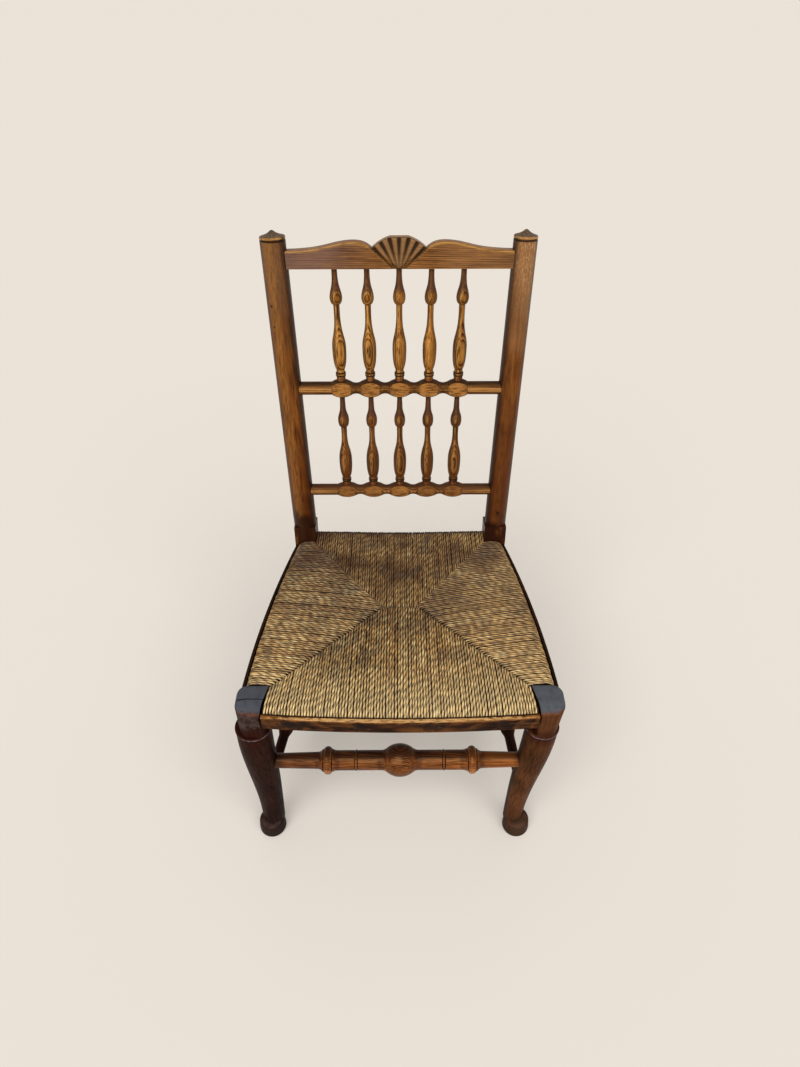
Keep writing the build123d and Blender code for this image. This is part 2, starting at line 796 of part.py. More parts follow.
def front_stretcher():
    """The turned front stretcher: a ball, a bead and a collar to each side of it, plain ends."""
    start, end = stretcher_tip(-1), stretcher_tip(1)
    middle = start + (end - start) * (stretcher_offset - start.X) / (end.X - start.X)
    middle_plane = turning_plane(middle, end)
    reach, meet_place, meet_radius = flank(
        ball_radius, ball_round, stretcher_radius, ball_flare_round
    )
    with BuildPart() as stretcher:
        with BuildSketch(middle_plane):
            with BuildLine():
                ThreePointArc(
                    (meet_radius, -meet_place),
                    (ball_radius, 0),
                    (meet_radius, meet_place),
                )
                for way, tip in ((-1, start), (1, end)):
                    half = (tip - middle).length
                    TangentArc(
                        (stretcher_radius, way * reach),
                        (meet_radius, way * meet_place),
                        tangent=(0, -way),
                    )
                    # The bead lies between two grooves
                    bead_low, bead_high = bead_place - bead_width / 2, bead_place + bead_width / 2
                    groove_radius = stretcher_radius - bead_groove_depth
                    Polyline(
                        (stretcher_radius, way * reach),
                        (stretcher_radius, way * (bead_low - bead_groove_width)),
                        (groove_radius, way * (bead_low - bead_groove_width / 2)),
                        (stretcher_radius, way * bead_low),
                    )
                    ThreePointArc(
                        (stretcher_radius, way * bead_low),
                        (stretcher_radius + bead_stand, way * bead_place),
                        (stretcher_radius, way * bead_high),
                    )
                    flare_low = (stretcher_radius, way * (collar_place - collar_flare))
                    collar_low = (collar_rim_radius, way * (collar_place - collar_width / 2))
                    collar_high = (collar_rim_radius, way * (collar_place + collar_width / 2))
                    flare_high = (stretcher_outer_radius, way * (collar_place + collar_flare))
                    lip_low = (collar_low[0] + collar_lip, collar_low[1] - way * collar_lip)
                    lip_high = (collar_high[0] + collar_lip, collar_high[1] + way * collar_lip)
                    Polyline(
                        (stretcher_radius, way * bead_high),
                        (groove_radius, way * (bead_high + bead_groove_width / 2)),
                        (stretcher_radius, way * (bead_high + bead_groove_width)),
                        flare_low,
                    )
                    Spline(flare_low, lip_low, tangents=((0, way), (1, way)))
                    Line(lip_low, collar_low)
                    ThreePointArc(collar_low, (collar_radius, way * collar_place), collar_high)
                    Line(collar_high, lip_high)
                    Spline(lip_high, flare_high, tangents=((-1, way), (0, way)))
                    Polyline(
                        flare_high,
                        (stretcher_end_radius, way * (half - stretcher_tenon_depth)),
                        (stretcher_end_radius, way * half),
                        (0, way * half),
                    )
                Line((0, -(middle - start).length), (0, (end - middle).length))
            make_face()
        revolve(axis=turning_axis(middle_plane))
    return stretcher.part


def side_stretcher(side):
    """A turned side stretcher: thin ends that flare to a thicker middle."""
    start, end = side_stretcher_tips(side)
    plane = turning_plane(start, end)
    length = (end - start).length
    with BuildPart() as stretcher:
        with BuildSketch(plane):
            with BuildLine():
                low = (side_stretcher_radius, side_stretcher_plain + side_stretcher_flare)
                high = (side_stretcher_radius, length - low[1])
                Polyline(
                    (side_stretcher_end_radius, side_stretcher_plain),
                    (side_stretcher_end_radius, 0),
                    (0, 0),
                    (0, length),
                    (side_stretcher_end_radius, length),
                    (side_stretcher_end_radius, length - side_stretcher_plain),
                )
                Spline(
                    (side_stretcher_end_radius, side_stretcher_plain),
                    low,
                    tangents=((0, 1), (0, 1)),
                )
                ThreePointArc(low, (side_stretcher_middle_radius, length / 2), high)
                Spline(
                    high,
                    (side_stretcher_end_radius, length - side_stretcher_plain),
                    tangents=((0, 1), (0, 1)),
                )
            make_face()
        revolve(axis=turning_axis(plane))
    return stretcher.part


def back_stretcher():
    """The plain back stretcher, slightly thicker in the middle."""
    start, end = back_stretcher_tip(-1), back_stretcher_tip(1)
    plane = turning_plane(start, end)
    length = (end - start).length
    low = (back_stretcher_end_radius, back_tenon_depth)
    high = (back_stretcher_end_radius, length - back_tenon_depth)
    with BuildPart() as stretcher:
        with BuildSketch(plane):
            with BuildLine():
                Polyline(low, (low[0], 0), (0, 0), (0, length), (high[0], length), high)
                ThreePointArc(low, (back_stretcher_radius, length / 2), high)
            make_face()
        revolve(axis=turning_axis(plane))
    return stretcher.part


def leg_rooms(extra):
    """The room that the four legs take at the seat, each a little larger than its leg."""
    rooms = []
    for side in sides.values():
        plan = block_plan(side, extra)
        with BuildPart() as room:
            with BuildSketch(Plane.XY.offset(rush_bottom - cut_overrun)):
                add(plan)
                with Locations((side * back_post_spread / 2, seat_depth)):
                    Rectangle(post_block_width + 2 * extra, post_block_width + 2 * extra)
            extrude(amount=rush_top - rush_bottom + 2 * cut_overrun)
        rooms.append(room.part)
    return rooms


def seat_bar(name, extra=0):
    """The round bar of a seat rail, run on past its shoulders, or the channel it lies in."""
    axis = seat_rail_axis(name)
    with BuildPart() as bar:
        with BuildLine():
            add(axis)
        with BuildSketch(Plane(origin=axis @ 0, z_dir=axis % 0)):
            Circle(seat_rail_radius + extra)
        sweep()
        for end in (0, 1):
            tip, outward = seat_tenon(name, end)
            with BuildSketch(Plane(origin=axis @ end, z_dir=outward)):
                Circle(seat_rail_radius + extra)
            extrude(amount=-seat_rail_radius / 2)
    return bar.part


def seat_rail(name):
    """A seat rail, fitted between its legs, with a round tenon at each end."""
    bar = seat_bar(name)
    rooms = leg_rooms(joint_gap)
    holes = nail_holes(name)
    with BuildPart() as rail:
        add(bar)
        add(rooms, mode=Mode.SUBTRACT)
        for end in (0, 1):
            tip, outward = seat_tenon(name, end)
            with BuildSketch(Plane(origin=tip, z_dir=outward)):
                Circle(seat_tenon_radius)
            extrude(amount=seat_tenon_depth + seat_rail_radius)
        add(holes, mode=Mode.SUBTRACT)
    return rail.part


def rush_edge(name, stand=0):
    """The front or a side edge of the rush seen from above, or a line that far outside it."""
    if name == "front":
        end = Vector(rush_front_half_width, rush_front - stand, 0)
        middle = Vector(0, rush_front - front_bow - stand, 0)
        return Edge.make_three_point_arc(across(end, -1), middle, end)
    start = Vector(rush_front_half_width + stand, rush_front, 0)
    end = Vector(rush_back_half_width + stand, seat_depth + rush_back, 0)
    middle = (start + end) / 2 + Vector(rush_side_bow, 0, 0)
    return Edge.make_three_point_arc(*[across(p, sides[name]) for p in (start, middle, end)])


strip_names = ("front", "left", "right")


def strip_thickness(name):
    return front_strip_thickness if name == "front" else side_strip_thickness


def nail_planes(name):
    """Where each nail of an edge strip enters its face, looking along the nail."""
    line = rush_edge(name, soft_gap + strip_thickness(name))
    shares = front_nail_shares if name == "front" else side_nail_shares
    planes = []
    for share in shares:
        inward = Vector(0, 0, 1).cross(line % share) * (-1 if name == "left" else 1)
        place = line @ share + Vector(0, 0, seat_rail_height)
        planes.append(Plane(origin=place, z_dir=inward))
    return planes


def nail_holes(name):
    holes = []
    if name in strip_names:
        for plane in nail_planes(name):
            with BuildPart() as hole:
                with BuildSketch(plane.offset(-nail_head_radius)):
                    Circle(nail_radius + joint_gap)
                extrude(amount=nail_head_radius + nail_length + joint_gap)
            holes.append(hole.part)
    return holes


def edge_strip(name):
    """A thin strip of wood, bowed along an edge of the rush and cut to fit between two legs."""
    inner = rush_edge(name, soft_gap)
    outer = rush_edge(name, soft_gap + strip_thickness(name))
    height = front_strip_height if name == "front" else side_strip_height
    rooms = leg_rooms(2 * joint_gap)
    holes = nail_holes(name)
    reach = block_inner + block_inner_slant - block_inner_round
    with BuildPart() as strip:
        with BuildSketch(Plane.XY.offset(strip_top - height)):
            with BuildLine():
                add(inner)
                add(outer)
                Line(inner @ 0, outer @ 0)
                Line(inner @ 1, outer @ 1)
            make_face()
            # Only the stretch between the legs is kept
            if name == "front":
                Rectangle(2 * reach, 2 * (block_depth + block_forward), mode=Mode.INTERSECT)
            else:
                with Locations((0, (block_back + post_front) / 2)):
                    span = post_front - block_back + block_outer_round
                    Rectangle(2 * block_outer, span, mode=Mode.INTERSECT)
        extrude(amount=height)
        add(rooms, mode=Mode.SUBTRACT)
        add(holes, mode=Mode.SUBTRACT)
    return strip.part


def edge_nail(plane):
    """A nail: a thin shank and a low domed head."""
    shank = turning_plane(plane.origin, plane.origin - plane.z_dir)
    with BuildPart() as nail:
        with BuildSketch(shank):
            with BuildLine():
                TangentArc((0, nail_head_height), (nail_head_radius, 0), tangent=(1, 0))
                Polyline(
                    (0, nail_head_height),
                    (0, -nail_length),
                    (nail_radius, -nail_length),
                    (nail_radius, 0),
                    (nail_head_radius, 0),
                )
            make_face()
        revolve(axis=turning_axis(shank))
    return nail.part


def rush_seat():
    """The rush: a pad wrapped over four rails, its four fields dipping to a ridge in the middle."""
    edges = [rush_edge(name) for name in strip_names]
    back_left, back_right = edges[1] @ 1, edges[2] @ 1
    rooms = leg_rooms(soft_gap)
    channels = [seat_bar(name, soft_gap) for name in ("front", "back", "left", "right")]
    holes = [hole for name in strip_names for hole in nail_holes(name)]
    corner_front = (block_inner, block_back)
    corner_back = (back_post_spread / 2 - post_block_width / 2, post_front)
    with BuildPart() as rush:
        with BuildSketch(Plane.XY.offset(rush_bottom)):
            with BuildLine():
                add(edges)
                Line(back_left, back_right)
            make_face()
        extrude(amount=rush_top - rush_bottom)
        fillet(rush.edges().group_by(Axis.Z)[-1] + rush.edges().group_by(Axis.Z)[0], rush_roll)
        # Four fields slope from the legs' corners to the ridge, above and below
        for level, dip in ((rush_top, -rush_sag), (rush_bottom, rush_under_sag)):
            with BuildSketch(Plane.XY.offset(level)):
                with BuildLine():
                    Polyline(
                        (-corner_front[0], corner_front[1]),
                        corner_front,
                        corner_back,
                        (-corner_back[0], corner_back[1]),
                        close=True,
                    )
                make_face()
            with BuildSketch(Plane.XY.offset(level + dip)):
                with Locations((0, ridge_place)):
                    Rectangle(2 * ridge_half_length, 2 * ridge_half_width)
            loft(ruled=True, mode=Mode.SUBTRACT)
        add(rooms, mode=Mode.SUBTRACT)
        add(channels, mode=Mode.SUBTRACT)
        add(holes, mode=Mode.SUBTRACT)
    return rush.part


pieces = {}
for name, side in sides.items():
    pieces[f"front_leg_{name}"] = front_leg(side)
    pieces[f"back_post_{name}"] = back_post(side)
    pieces[f"side_stretcher_{name}"] = side_stretcher(side)
pieces["front_stretcher"] = front_stretcher()
pieces["back_stretcher"] = back_stretcher()
pieces["crest_rail"] = crest_rail()
spindles = range(spindle_count)
pieces["upper_cross_rail"] = cross_rail(
    mid_rail_place,
    mid_rail_radius,
    mid_boss_radius,
    mid_neck_radius,
    mid_neck_round,
    mid_spacing,
    [foot_socket("upper", i) for i in spindles] + [top_socket("lower", i) for i in spindles],
)
pieces["lower_cross_rail"] = cross_rail(
    low_rail_place,
    low_rail_radius,
    low_boss_radius,
    low_neck_radius,
    low_neck_round,
    low_spacing,
    [foot_socket("lower", i) for i in spindles],
)
for row in spindle_rows:
    for index in spindles:
        pieces[f"{row}_spindle_{index + 1}"] = spindle(row, index)
for name in ("front", "back", "left", "right"):
    pieces[f"seat_rail_{name}"] = seat_rail(name)
pieces["rush_seat"] = rush_seat()
for name in strip_names:
    pieces[f"edge_strip_{name}"] = edge_strip(name)
pieces["strip_nails"] = Compound(
    [edge_nail(plane).solid() for name in strip_names for plane in nail_planes(name)]
)

# The origin goes to the floor under the middle of the chair's outer box
chair_box = Compound(list(pieces.values())).bounding_box()
to_origin = Location((-chair_box.center().X, -chair_box.center().Y, -chair_box.min.Z))
for name, piece in pieces.items():
    placed = piece.moved(to_origin)
    placed.label = name
    export_step(placed, f"parts/{name}.step")
print("middle lies at X", round(to_origin.position.X, 3))
print("front legs' axis lies at Y", round(to_origin.position.Y, 3))
print("chair", chair_box.size)
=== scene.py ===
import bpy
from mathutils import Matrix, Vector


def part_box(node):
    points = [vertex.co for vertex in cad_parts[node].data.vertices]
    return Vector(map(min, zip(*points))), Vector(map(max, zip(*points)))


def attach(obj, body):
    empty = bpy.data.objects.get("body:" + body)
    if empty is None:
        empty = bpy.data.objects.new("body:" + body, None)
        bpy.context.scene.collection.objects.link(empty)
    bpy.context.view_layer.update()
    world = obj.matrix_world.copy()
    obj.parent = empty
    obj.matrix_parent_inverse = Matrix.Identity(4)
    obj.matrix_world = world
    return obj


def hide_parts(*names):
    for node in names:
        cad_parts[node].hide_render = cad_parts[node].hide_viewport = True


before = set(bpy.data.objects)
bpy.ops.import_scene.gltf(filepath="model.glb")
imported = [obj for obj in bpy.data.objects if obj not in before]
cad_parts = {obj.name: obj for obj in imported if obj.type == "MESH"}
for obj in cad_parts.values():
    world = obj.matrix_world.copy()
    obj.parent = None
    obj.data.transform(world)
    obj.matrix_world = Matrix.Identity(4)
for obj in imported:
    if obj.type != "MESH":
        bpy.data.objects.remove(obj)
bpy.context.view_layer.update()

import math
import random

import bmesh
import bpy
import numpy as np
from mathutils import Euler, Vector, noise

# The room. A chair like this is seen from in front and above, standing on a plain pale floor
# in soft light from two wide windows high up in front of it. Lengths are in metres.


def middle_of(name):
    low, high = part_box(name)
    return (low + high) / 2


def put_in_room(name, data):
    placed = bpy.data.objects.new(name, data)
    bpy.context.scene.collection.objects.link(placed)
    return placed


leg_front_to_axis = 0.029
middle_x = middle_of("crest_rail").x
front_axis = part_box("front_leg_left")[0].y + leg_front_to_axis

camera_data = bpy.data.cameras.new("camera")
camera_data.sensor_fit = "VERTICAL"
camera_data.sensor_height = 24.0
camera_data.lens = 16.87
camera = put_in_room("camera", camera_data)
right_of_middle, before_legs, above_floor = 0.0029, 0.6881, 1.3042
tipped_up, leaning = 49.1, 0.2
camera.location = (middle_x + right_of_middle, front_axis - before_legs, above_floor)
camera.rotation_euler = (math.radians(tipped_up), math.radians(leaning), 0.0)
bpy.context.scene.camera = camera
bpy.context.scene.view_settings.view_transform = "Standard"


def window(name, strength, way):
    """Soft light that comes through a wide window and goes that way."""
    light = bpy.data.lights.new(name, "SUN")
    light.energy = strength
    light.angle = math.radians(40)
    put_in_room(name, light).rotation_euler = Vector(way).to_track_quat("-Z", "Y").to_euler()


window("left_window", 1.5, (0.35, 0.7, -0.9))
window("right_window", 1.1, (-0.45, 0.7, -0.9))
room = bpy.data.worlds.new("room")
room.use_nodes = True
daylight = room.node_tree.nodes["Background"].inputs
daylight["Color"].default_value = (1.0, 0.985, 0.96, 1.0)
daylight["Strength"].default_value = 0.4
bpy.context.scene.world = room


def stain(red, green, blue):
    """A colour as the eye reads it, 0 to 255, as the light that it throws back."""
    shares = [value / 255 for value in (red, green, blue)]
    return tuple(s / 12.92 if s <= 0.04045 else ((s + 0.055) / 1.055) ** 2.4 for s in shares) + (1.0,)


def shade_of(colour, share):
    return tuple(share * value for value in colour[:3]) + (1.0,)


def fill_in(tree, made, inputs):
    """Sets each input of a shader node to a value, or joins it to a socket."""
    for socket, value in inputs.items():
        if isinstance(value, bpy.types.NodeSocket):
            tree.links.new(value, made.inputs[socket])
        else:
            made.inputs[socket].default_value = value


def new_finish(name):
    """A new material, with its node tree and its surface."""
    material = bpy.data.materials.new(name)
    material.use_nodes = True
    return material, material.node_tree, material.node_tree.nodes["Principled BSDF"]


floor_light = stain(233, 225, 215)
floor_paint, floor_tree, floor_surface = new_finish("floor_paint")
floor_inputs = {
    "Base Color": shade_of(floor_light, 0.83),
    "Roughness": 0.9,
    "Specular IOR Level": 0.1,
    "Emission Color": floor_light,
    "Emission Strength": 0.18,
}
fill_in(floor_tree, floor_surface, floor_inputs)
floor_mesh = bpy.data.meshes.new("floor")
floor_sheet = bmesh.new()
bmesh.ops.create_grid(floor_sheet, x_segments=1, y_segments=1, size=30.0)
floor_sheet.to_mesh(floor_mesh)
floor_sheet.free()
floor_mesh.materials.append(floor_paint)
floor = put_in_room("floor", floor_mesh)

# The two back posts. Each is one length of ash, turned above and below a squared block at the
# seat and finished with a grooved, coned cap. Old wax has gone dark in the pores and in the
# corners. Painted shade darkens the corners and the sides, and a painted highlight runs down
# the front.


def node(tree, kind, inputs=(), **settings):
    """A shader node with its settings and its inputs."""
    made = tree.nodes.new(kind)
    for setting, value in settings.items():
        setattr(made, setting, value)
    fill_in(tree, made, dict(inputs))
    return made


def ramp(tree, factor, stops):
    """A colour ramp through (place, colour) stops."""
    made = node(tree, "ShaderNodeValToRGB", {"Fac": factor})
    elements = made.color_ramp.elements
    while len(elements) < len(stops):
        elements.new(0.5)
    for element, (place, colour) in zip(elements, stops):
        element.position = place
        element.color = colour
    return made.outputs["Color"]


def blend(tree, share, low, high):
    return node(tree, "ShaderNodeMix", {0: share, 6: low, 7: high}, data_type="RGBA").outputs[2]


def level(tree, value, low, high, out_low=0.0, out_high=1.0):
    """A value brought smoothly from one range to another."""
    made = node(
        tree,
        "ShaderNodeMapRange",
        {"Value": value, "From Min": low, "From Max": high, "To Min": out_low, "To Max": out_high},
        interpolation_type="SMOOTHSTEP",
    )
    return made.outputs["Result"]


def work_out(tree, way, first, second):
    return node(tree, "ShaderNodeMath", {0: first, 1: second}, operation=way).outputs["Value"]


def vector_work(tree, way, first, second, output="Vector"):
    return node(tree, "ShaderNodeVectorMath", {0: first, 1: second}, operation=way).outputs[output]


def place_in(tree):
    return node(tree, "ShaderNodeTexCoord").outputs["Object"]


def cloud(tree, scale, detail=3.0, stretch=(1.0, 1.0, 1.0)):
    """Noise through the piece, stretched along the axes by more than 1, or squeezed."""
    place = vector_work(tree, "DIVIDE", place_in(tree), stretch)
    inputs = {"Vector": place, "Scale": scale, "Detail": detail, "Roughness": 0.55}
    return node(tree, "ShaderNodeTexNoise", inputs).outputs["Fac"]


def eased_facing(tree, radius, samples, way):
    """How nearly the surface faces that way, with its edges eased by the radius."""
    eased = node(tree, "ShaderNodeBevel", {"Radius": radius}, samples=samples).outputs["Normal"]
    return vector_work(tree, "DOT_PRODUCT", eased, way, "Value")


def old_wood(
    name,
    grain,
    heart,
    ring,
    tones,
    tilt=(0.0, 0.0),
    figure=0.8,
    wander=9.0,
    streaky=0.6,
    grime_and_shade=0.85,
    rub=0.5,
    wax=1.3,
):
    """Waxed old wood. grain is the way of its fibres, heart a point on the log's middle, ring
    the width of a year's growth, and tones its dark, middle, warm and pale colours. tilt turns
    the log by so many degrees. figure is how clearly the rings show, wander how far they stray,
    streaky how strong the streaks are, grime how dark old wax and painted shade make the corners,
    rub how pale the edges, and wax how much the surface bends the light."""
    material, tree, surface = new_finish(name)
    dark, middle, warm, pale = tones
    turn = Vector(grain).to_track_quat("Z", "Y").to_euler()
    turn.rotate(Euler((math.radians(tilt[0]), math.radians(tilt[1]), 0.0)))
    log_inputs = {"Vector": place_in(tree), "Location": heart, "Rotation": turn}
    log = node(tree, "ShaderNodeMapping", log_inputs, vector_type="TEXTURE").outputs["Vector"]
    # Growth rings, drawn out along the log
    ring_inputs = {
        "Vector": vector_work(tree, "MULTIPLY", log, (1.0, 1.0, 0.07)),
        "Scale": 0.3142 / ring,
        "Distortion": wander,
        "Detail": 2.0,
        "Detail Scale": 0.32,
        "Detail Roughness": 0.45,
    }
    ring_settings = {"wave_type": "RINGS", "rings_direction": "Z", "wave_profile": "SAW"}
    rings = node(tree, "ShaderNodeTexWave", ring_inputs, **ring_settings).outputs["Fac"]
    winter = shade_of(dark, 0.7)
    spring = [(0.0, winter), (0.14, dark), (0.3, middle), (0.5, warm)]
    autumn = [(0.8, pale), (0.92, middle), (1.0, winter)]
    figured = blend(tree, figure, warm, ramp(tree, rings, spring + autumn))
    # Long streaks of colour, dark ones and pale ones
    streak_inputs = {
        "Vector": vector_work(tree, "MULTIPLY", log, (1.0, 1.0, 0.05)),
        "Scale": 330.0,
        "Detail": 3.0,
        "Roughness": 0.75,
    }
    streaks = node(tree, "ShaderNodeTexNoise", streak_inputs).outputs["Fac"]
    browned = blend(tree, level(tree, streaks, 0.5, 0.62, 0.0, streaky), figured, shade_of(dark, 0.8))
    streaked = blend(tree, level(tree, streaks, 0.46, 0.34, 0.0, streaky * 0.8), browned, pale)
    clouded = blend(tree, level(tree, cloud(tree, 16.0), 0.38, 0.72, 0.0, 0.5), streaked, dark)
    # Fine fibres and open pores, filled with dark wax
    fibre_inputs = {
        "Vector": vector_work(tree, "MULTIPLY", log, (1.0, 1.0, 0.03)),
        "Scale": 560.0,
        "Detail": 3.0,
    }
    fibres = node(tree, "ShaderNodeTexNoise", fibre_inputs).outputs["Fac"]
    early = level(tree, rings, 0.5, 0.0, 0.3, 1.0)
    pores = work_out(tree, "MULTIPLY", level(tree, fibres, 0.49, 0.6, 0.0, 0.75), early)
    fibred = blend(tree, pores, clouded, shade_of(dark, 0.4))
    # Old wax and painted shade in the corners, and rubbed edges
    corner = node(tree, "ShaderNodeAmbientOcclusion", {"Distance": 0.012}, samples=6).outputs["AO"]
    grimed_and_shaded = blend(tree, level(tree, corner, 0.9, 0.4, 0.0, grime_and_shade), fibred, shade_of(dark, 0.22))
    square = node(tree, "ShaderNodeNewGeometry").outputs["Normal"]
    edge = level(tree, eased_facing(tree, 0.0018, 4, square), 0.99, 0.88, 0.0, rub)
    rubbed = work_out(tree, "MULTIPLY", edge, level(tree, corner, 0.78, 0.97))
    relief = work_out(tree, "SUBTRACT", work_out(tree, "MULTIPLY", rings, figure), pores)
    bump = node(tree, "ShaderNodeBump", {"Height": relief, "Strength": 0.35, "Distance": 0.0004})
    surface_inputs = {
        "Base Color": blend(tree, rubbed, grimed_and_shaded, pale),
        "Roughness": level(tree, streaks, 0.3, 0.75, 0.32, 0.5),
        "IOR": wax,
        "Specular Tint": (1.0, 0.62, 0.32, 1.0),
        "Normal": bump.outputs["Normal"],
    }
    fill_in(tree, surface, surface_inputs)
    return material


def lay_over(material, share, colour):
    """Lays a colour over the material's own, as much as the share says."""
    tree = material.node_tree
    surface = tree.nodes["Principled BSDF"]
    own = surface.inputs["Base Color"].links[0].from_socket
    fill_in(tree, surface, {"Base Color": blend(tree, share, own, colour)})


def both(material, first, second):
    return work_out(material.node_tree, "MULTIPLY", first, second)


def patches(material, scale, low, high, most=1.0, stretch=(1.0, 1.0, 1.0)):
    tree = material.node_tree
    return level(tree, cloud(tree, scale, stretch=stretch), low, high, 0.0, most)


def broken(material, share, scale, low, high, most=1.0, stretch=(1.0, 1.0, 1.0)):
    """A share broken up into patches."""
    return both(material, share, patches(material, scale, low, high, most, stretch))


def facing(material, way, low, high, most=1.0):
    """A share that grows with how nearly the surface faces that way."""
    tree = material.node_tree
    normal = node(tree, "ShaderNodeNewGeometry").outputs["Normal"]
    turned = vector_work(tree, "DOT_PRODUCT", normal, Vector(way).normalized(), "Value")
    return level(tree, turned, low, high, 0.0, most)


def shade_away_from_front(material, colour, most):
    """Painted shade: darkens a round piece where it turns away from the front."""
    lay_over(material, facing(material, (0, -0.8, 0.6), 0.5, 0.02, most), colour)


def along(material, way, start, low, high, most=1.0, ragged=0.0, fineness=60.0):
    """A share that grows along a way, from low to high past the start. Its rim may be ragged,
    by so much and so finely."""
    tree = material.node_tree
    way = Vector(way).normalized()
    gone = vector_work(tree, "DOT_PRODUCT", place_in(tree), way, "Value")
    gone = work_out(tree, "SUBTRACT", gone, Vector(start).dot(way))
    if ragged:
        gone = work_out(tree, "ADD", gone, level(tree, cloud(tree, fineness), 0.2, 0.8, -ragged, ragged))
    return level(tree, gone, low, high, 0.0, most)


def band(material, way, start, rise, fall, most=1.0, ragged=0.0, fineness=60.0):
    """A share that grows and fades again along a way. rise and fall each say from where to
    where past the start."""
    grown = along(material, way, start, rise[0], rise[1], 1.0, ragged, fineness)
    return both(material, grown, along(material, way, start, fall[1], fall[0], most, ragged, fineness))


def higher(material, low, high, most=1.0, ragged=0.0, fineness=60.0):
    """A share that grows from one height over the floor to another."""
    return along(material, (0, 0, 1), (0, 0, 0), low, high, most, ragged, fineness)


def spot(material, point, radius, most=1.0, stretch=(1.0, 1.0, 1.0)):
    """A share that is most at a point and fades to nothing at the radius, with a ragged rim."""
    tree = material.node_tree
    away = vector_work(tree, "DIVIDE", vector_work(tree, "SUBTRACT", place_in(tree), point), stretch)
    length = node(tree, "ShaderNodeVectorMath", {0: away}, operation="LENGTH").outputs["Value"]
    ragged = level(tree, cloud(tree, 1.6 / radius), 0.3, 0.7, -radius / 3, radius / 3)
    return level(tree, work_out(tree, "ADD", length, ragged), radius, radius * 0.35, 0.0, most)


def finish_node(name, material):
    """The piece of this name gets its finish."""
    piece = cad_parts[name]
    piece.data.materials.clear()
    piece.data.materials.append(material)


# The posts lean back along the slope. Lengths along it start at back_foot, between the posts
# at the height of the seat.
seat_height = 0.385
slope = Vector((0.0, 0.16, 0.987))
back_foot = Vector((middle_x, front_axis + 0.371, seat_height))
# Half the way from post to post there, how far back their faces are, and how both grow with height
post_spread = 0.174
post_splay = 0.0335
post_face = 0.35
post_rake = 0.162


def on_post(side, height, across):
    """A point on the face of a post, so far across from its middle."""
    raised = height - seat_height
    x = middle_x + side * (post_spread + raised * post_splay) + across
    return (x, front_axis + post_face + raised * post_rake, height)


# What the years have done to each post, and its painted highlight. Each knot has its height, its place across
# and its size.
post_tones = (stain(42, 19, 8), stain(90, 48, 18), stain(124, 70, 26), stain(164, 104, 44))
post_wear = {
    "left": {
        "faded": 0.5,
        "faded_colour": stain(98, 74, 54),
        "flecked": 0.1,
        "waxed_below": (0.70, 0.44),
        "darkened": 0.62,
        "wax_colour": stain(84, 36, 11),
        "painted_highlight": 0.45,
        "highlight_colour": stain(164, 112, 54),
        "knocked_below": (0.475, 0.425),
        "knots": ((0.809, -0.0105, 0.0026), (0.777, -0.0095, 0.0022), (0.47, 0.002, 0.0018)),
    },
    "right": {
        "faded": 0.45,
        "faded_colour": stain(168, 128, 90),
        "flecked": 0.5,
        "waxed_below": (0.76, 0.5),
        "darkened": 0.84,
        "wax_colour": stain(74, 32, 11),
        "painted_highlight": 0.25,
        "highlight_colour": stain(140, 90, 44),
        "knocked_below": (0.44, 0.41),
        "knots": ((0.443, 0.0005, 0.0034),),
    },
}
for side_name, side in (("left", -1), ("right", 1)):
    wear = post_wear[side_name]
    post_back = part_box(f"back_post_{side_name}")[1].y
    heart = (middle_x + side * 0.225, post_back + 0.05, 0.6)
    post_grain = (0.03 * side, 0.16, 0.98)
    post_figure = {"tilt": (1.6, 0.8), "figure": 0.25, "wander": 4.0, "streaky": 0.38}
    post = old_wood(f"post_{side_name}", post_grain, heart, 0.0028, post_tones, **post_figure)
    lay_over(post, higher(post, 0.68, 0.88, wear["faded"], 0.05, 12.0), wear["faded_colour"])
    flecked = broken(post, higher(post, 0.78, 0.87, wear["flecked"]), 900.0, 0.5, 0.62, 1.0, (1, 1, 12))
    lay_over(post, flecked, stain(206, 164, 112))
    lay_over(post, higher(post, *wear["waxed_below"], wear["darkened"], 0.05, 12.0), wear["wax_colour"])
    # Painted shade on both sides of the post, and where it turns away from the front
    lay_over(post, facing(post, (-side, 0.15, 0), 0.25, 0.9, 0.88), stain(34, 17, 12))
    lay_over(post, facing(post, (side, 0.15, 0), 0.5, 0.95, 0.75), stain(40, 20, 12))
    shade_away_from_front(post, stain(40, 20, 10), 0.9)
    lay_over(post, patches(post, 70.0, 0.6, 0.74, 0.25, (1, 1, 5)), stain(54, 26, 14))
    # A painted highlight down the post where it faces the windows
    to_window = facing(post, (-0.32, -0.93, 0.15), 0.84, 0.995)
    painted_highlight = broken(post, to_window, 330.0, 0.25, 0.7, wear["painted_highlight"], (1, 1, 22))
    lay_over(post, painted_highlight, wear["highlight_colour"])
    # The foot of the shaft and its block have been knocked about, and are nearly black
    knocked = higher(post, *wear["knocked_below"], 0.93, 0.02, 30.0)
    lay_over(post, broken(post, knocked, 70.0, 0.2, 0.5, 1.0, (1, 1, 2)), stain(36, 14, 9))
    cap_groove = band(post, slope, back_foot, (0.5199, 0.5205), (0.5225, 0.5231), 0.9)
    lay_over(post, cap_groove, stain(22, 13, 9))
    # The cone of the cap has gone grey, and its rim is rubbed down to the end grain
    cap_rim = both(post, along(post, slope, back_foot, 0.5235, 0.5245), facing(post, slope, 0.86, 0.5))
    lay_over(post, broken(post, cap_rim, 420.0, 0.35, 0.6, 0.8), stain(190, 140, 74))
    cone = both(post, along(post, slope, back_foot, 0.526, 0.5275), facing(post, slope, 0.55, 0.85))
    lay_over(post, cone, stain(78, 64, 52))
    lay_over(post, broken(post, cone, 300.0, 0.5, 0.6, 0.7), stain(126, 98, 66))
    for knot_height, knot_across, knot_size in wear["knots"]:
        knot = on_post(side, knot_height, knot_across)
        lay_over(post, spot(post, knot, knot_size, 0.9, (1, 8, 1.6)), stain(30, 18, 14))
    finish_node(f"back_post_{side_name}", post)

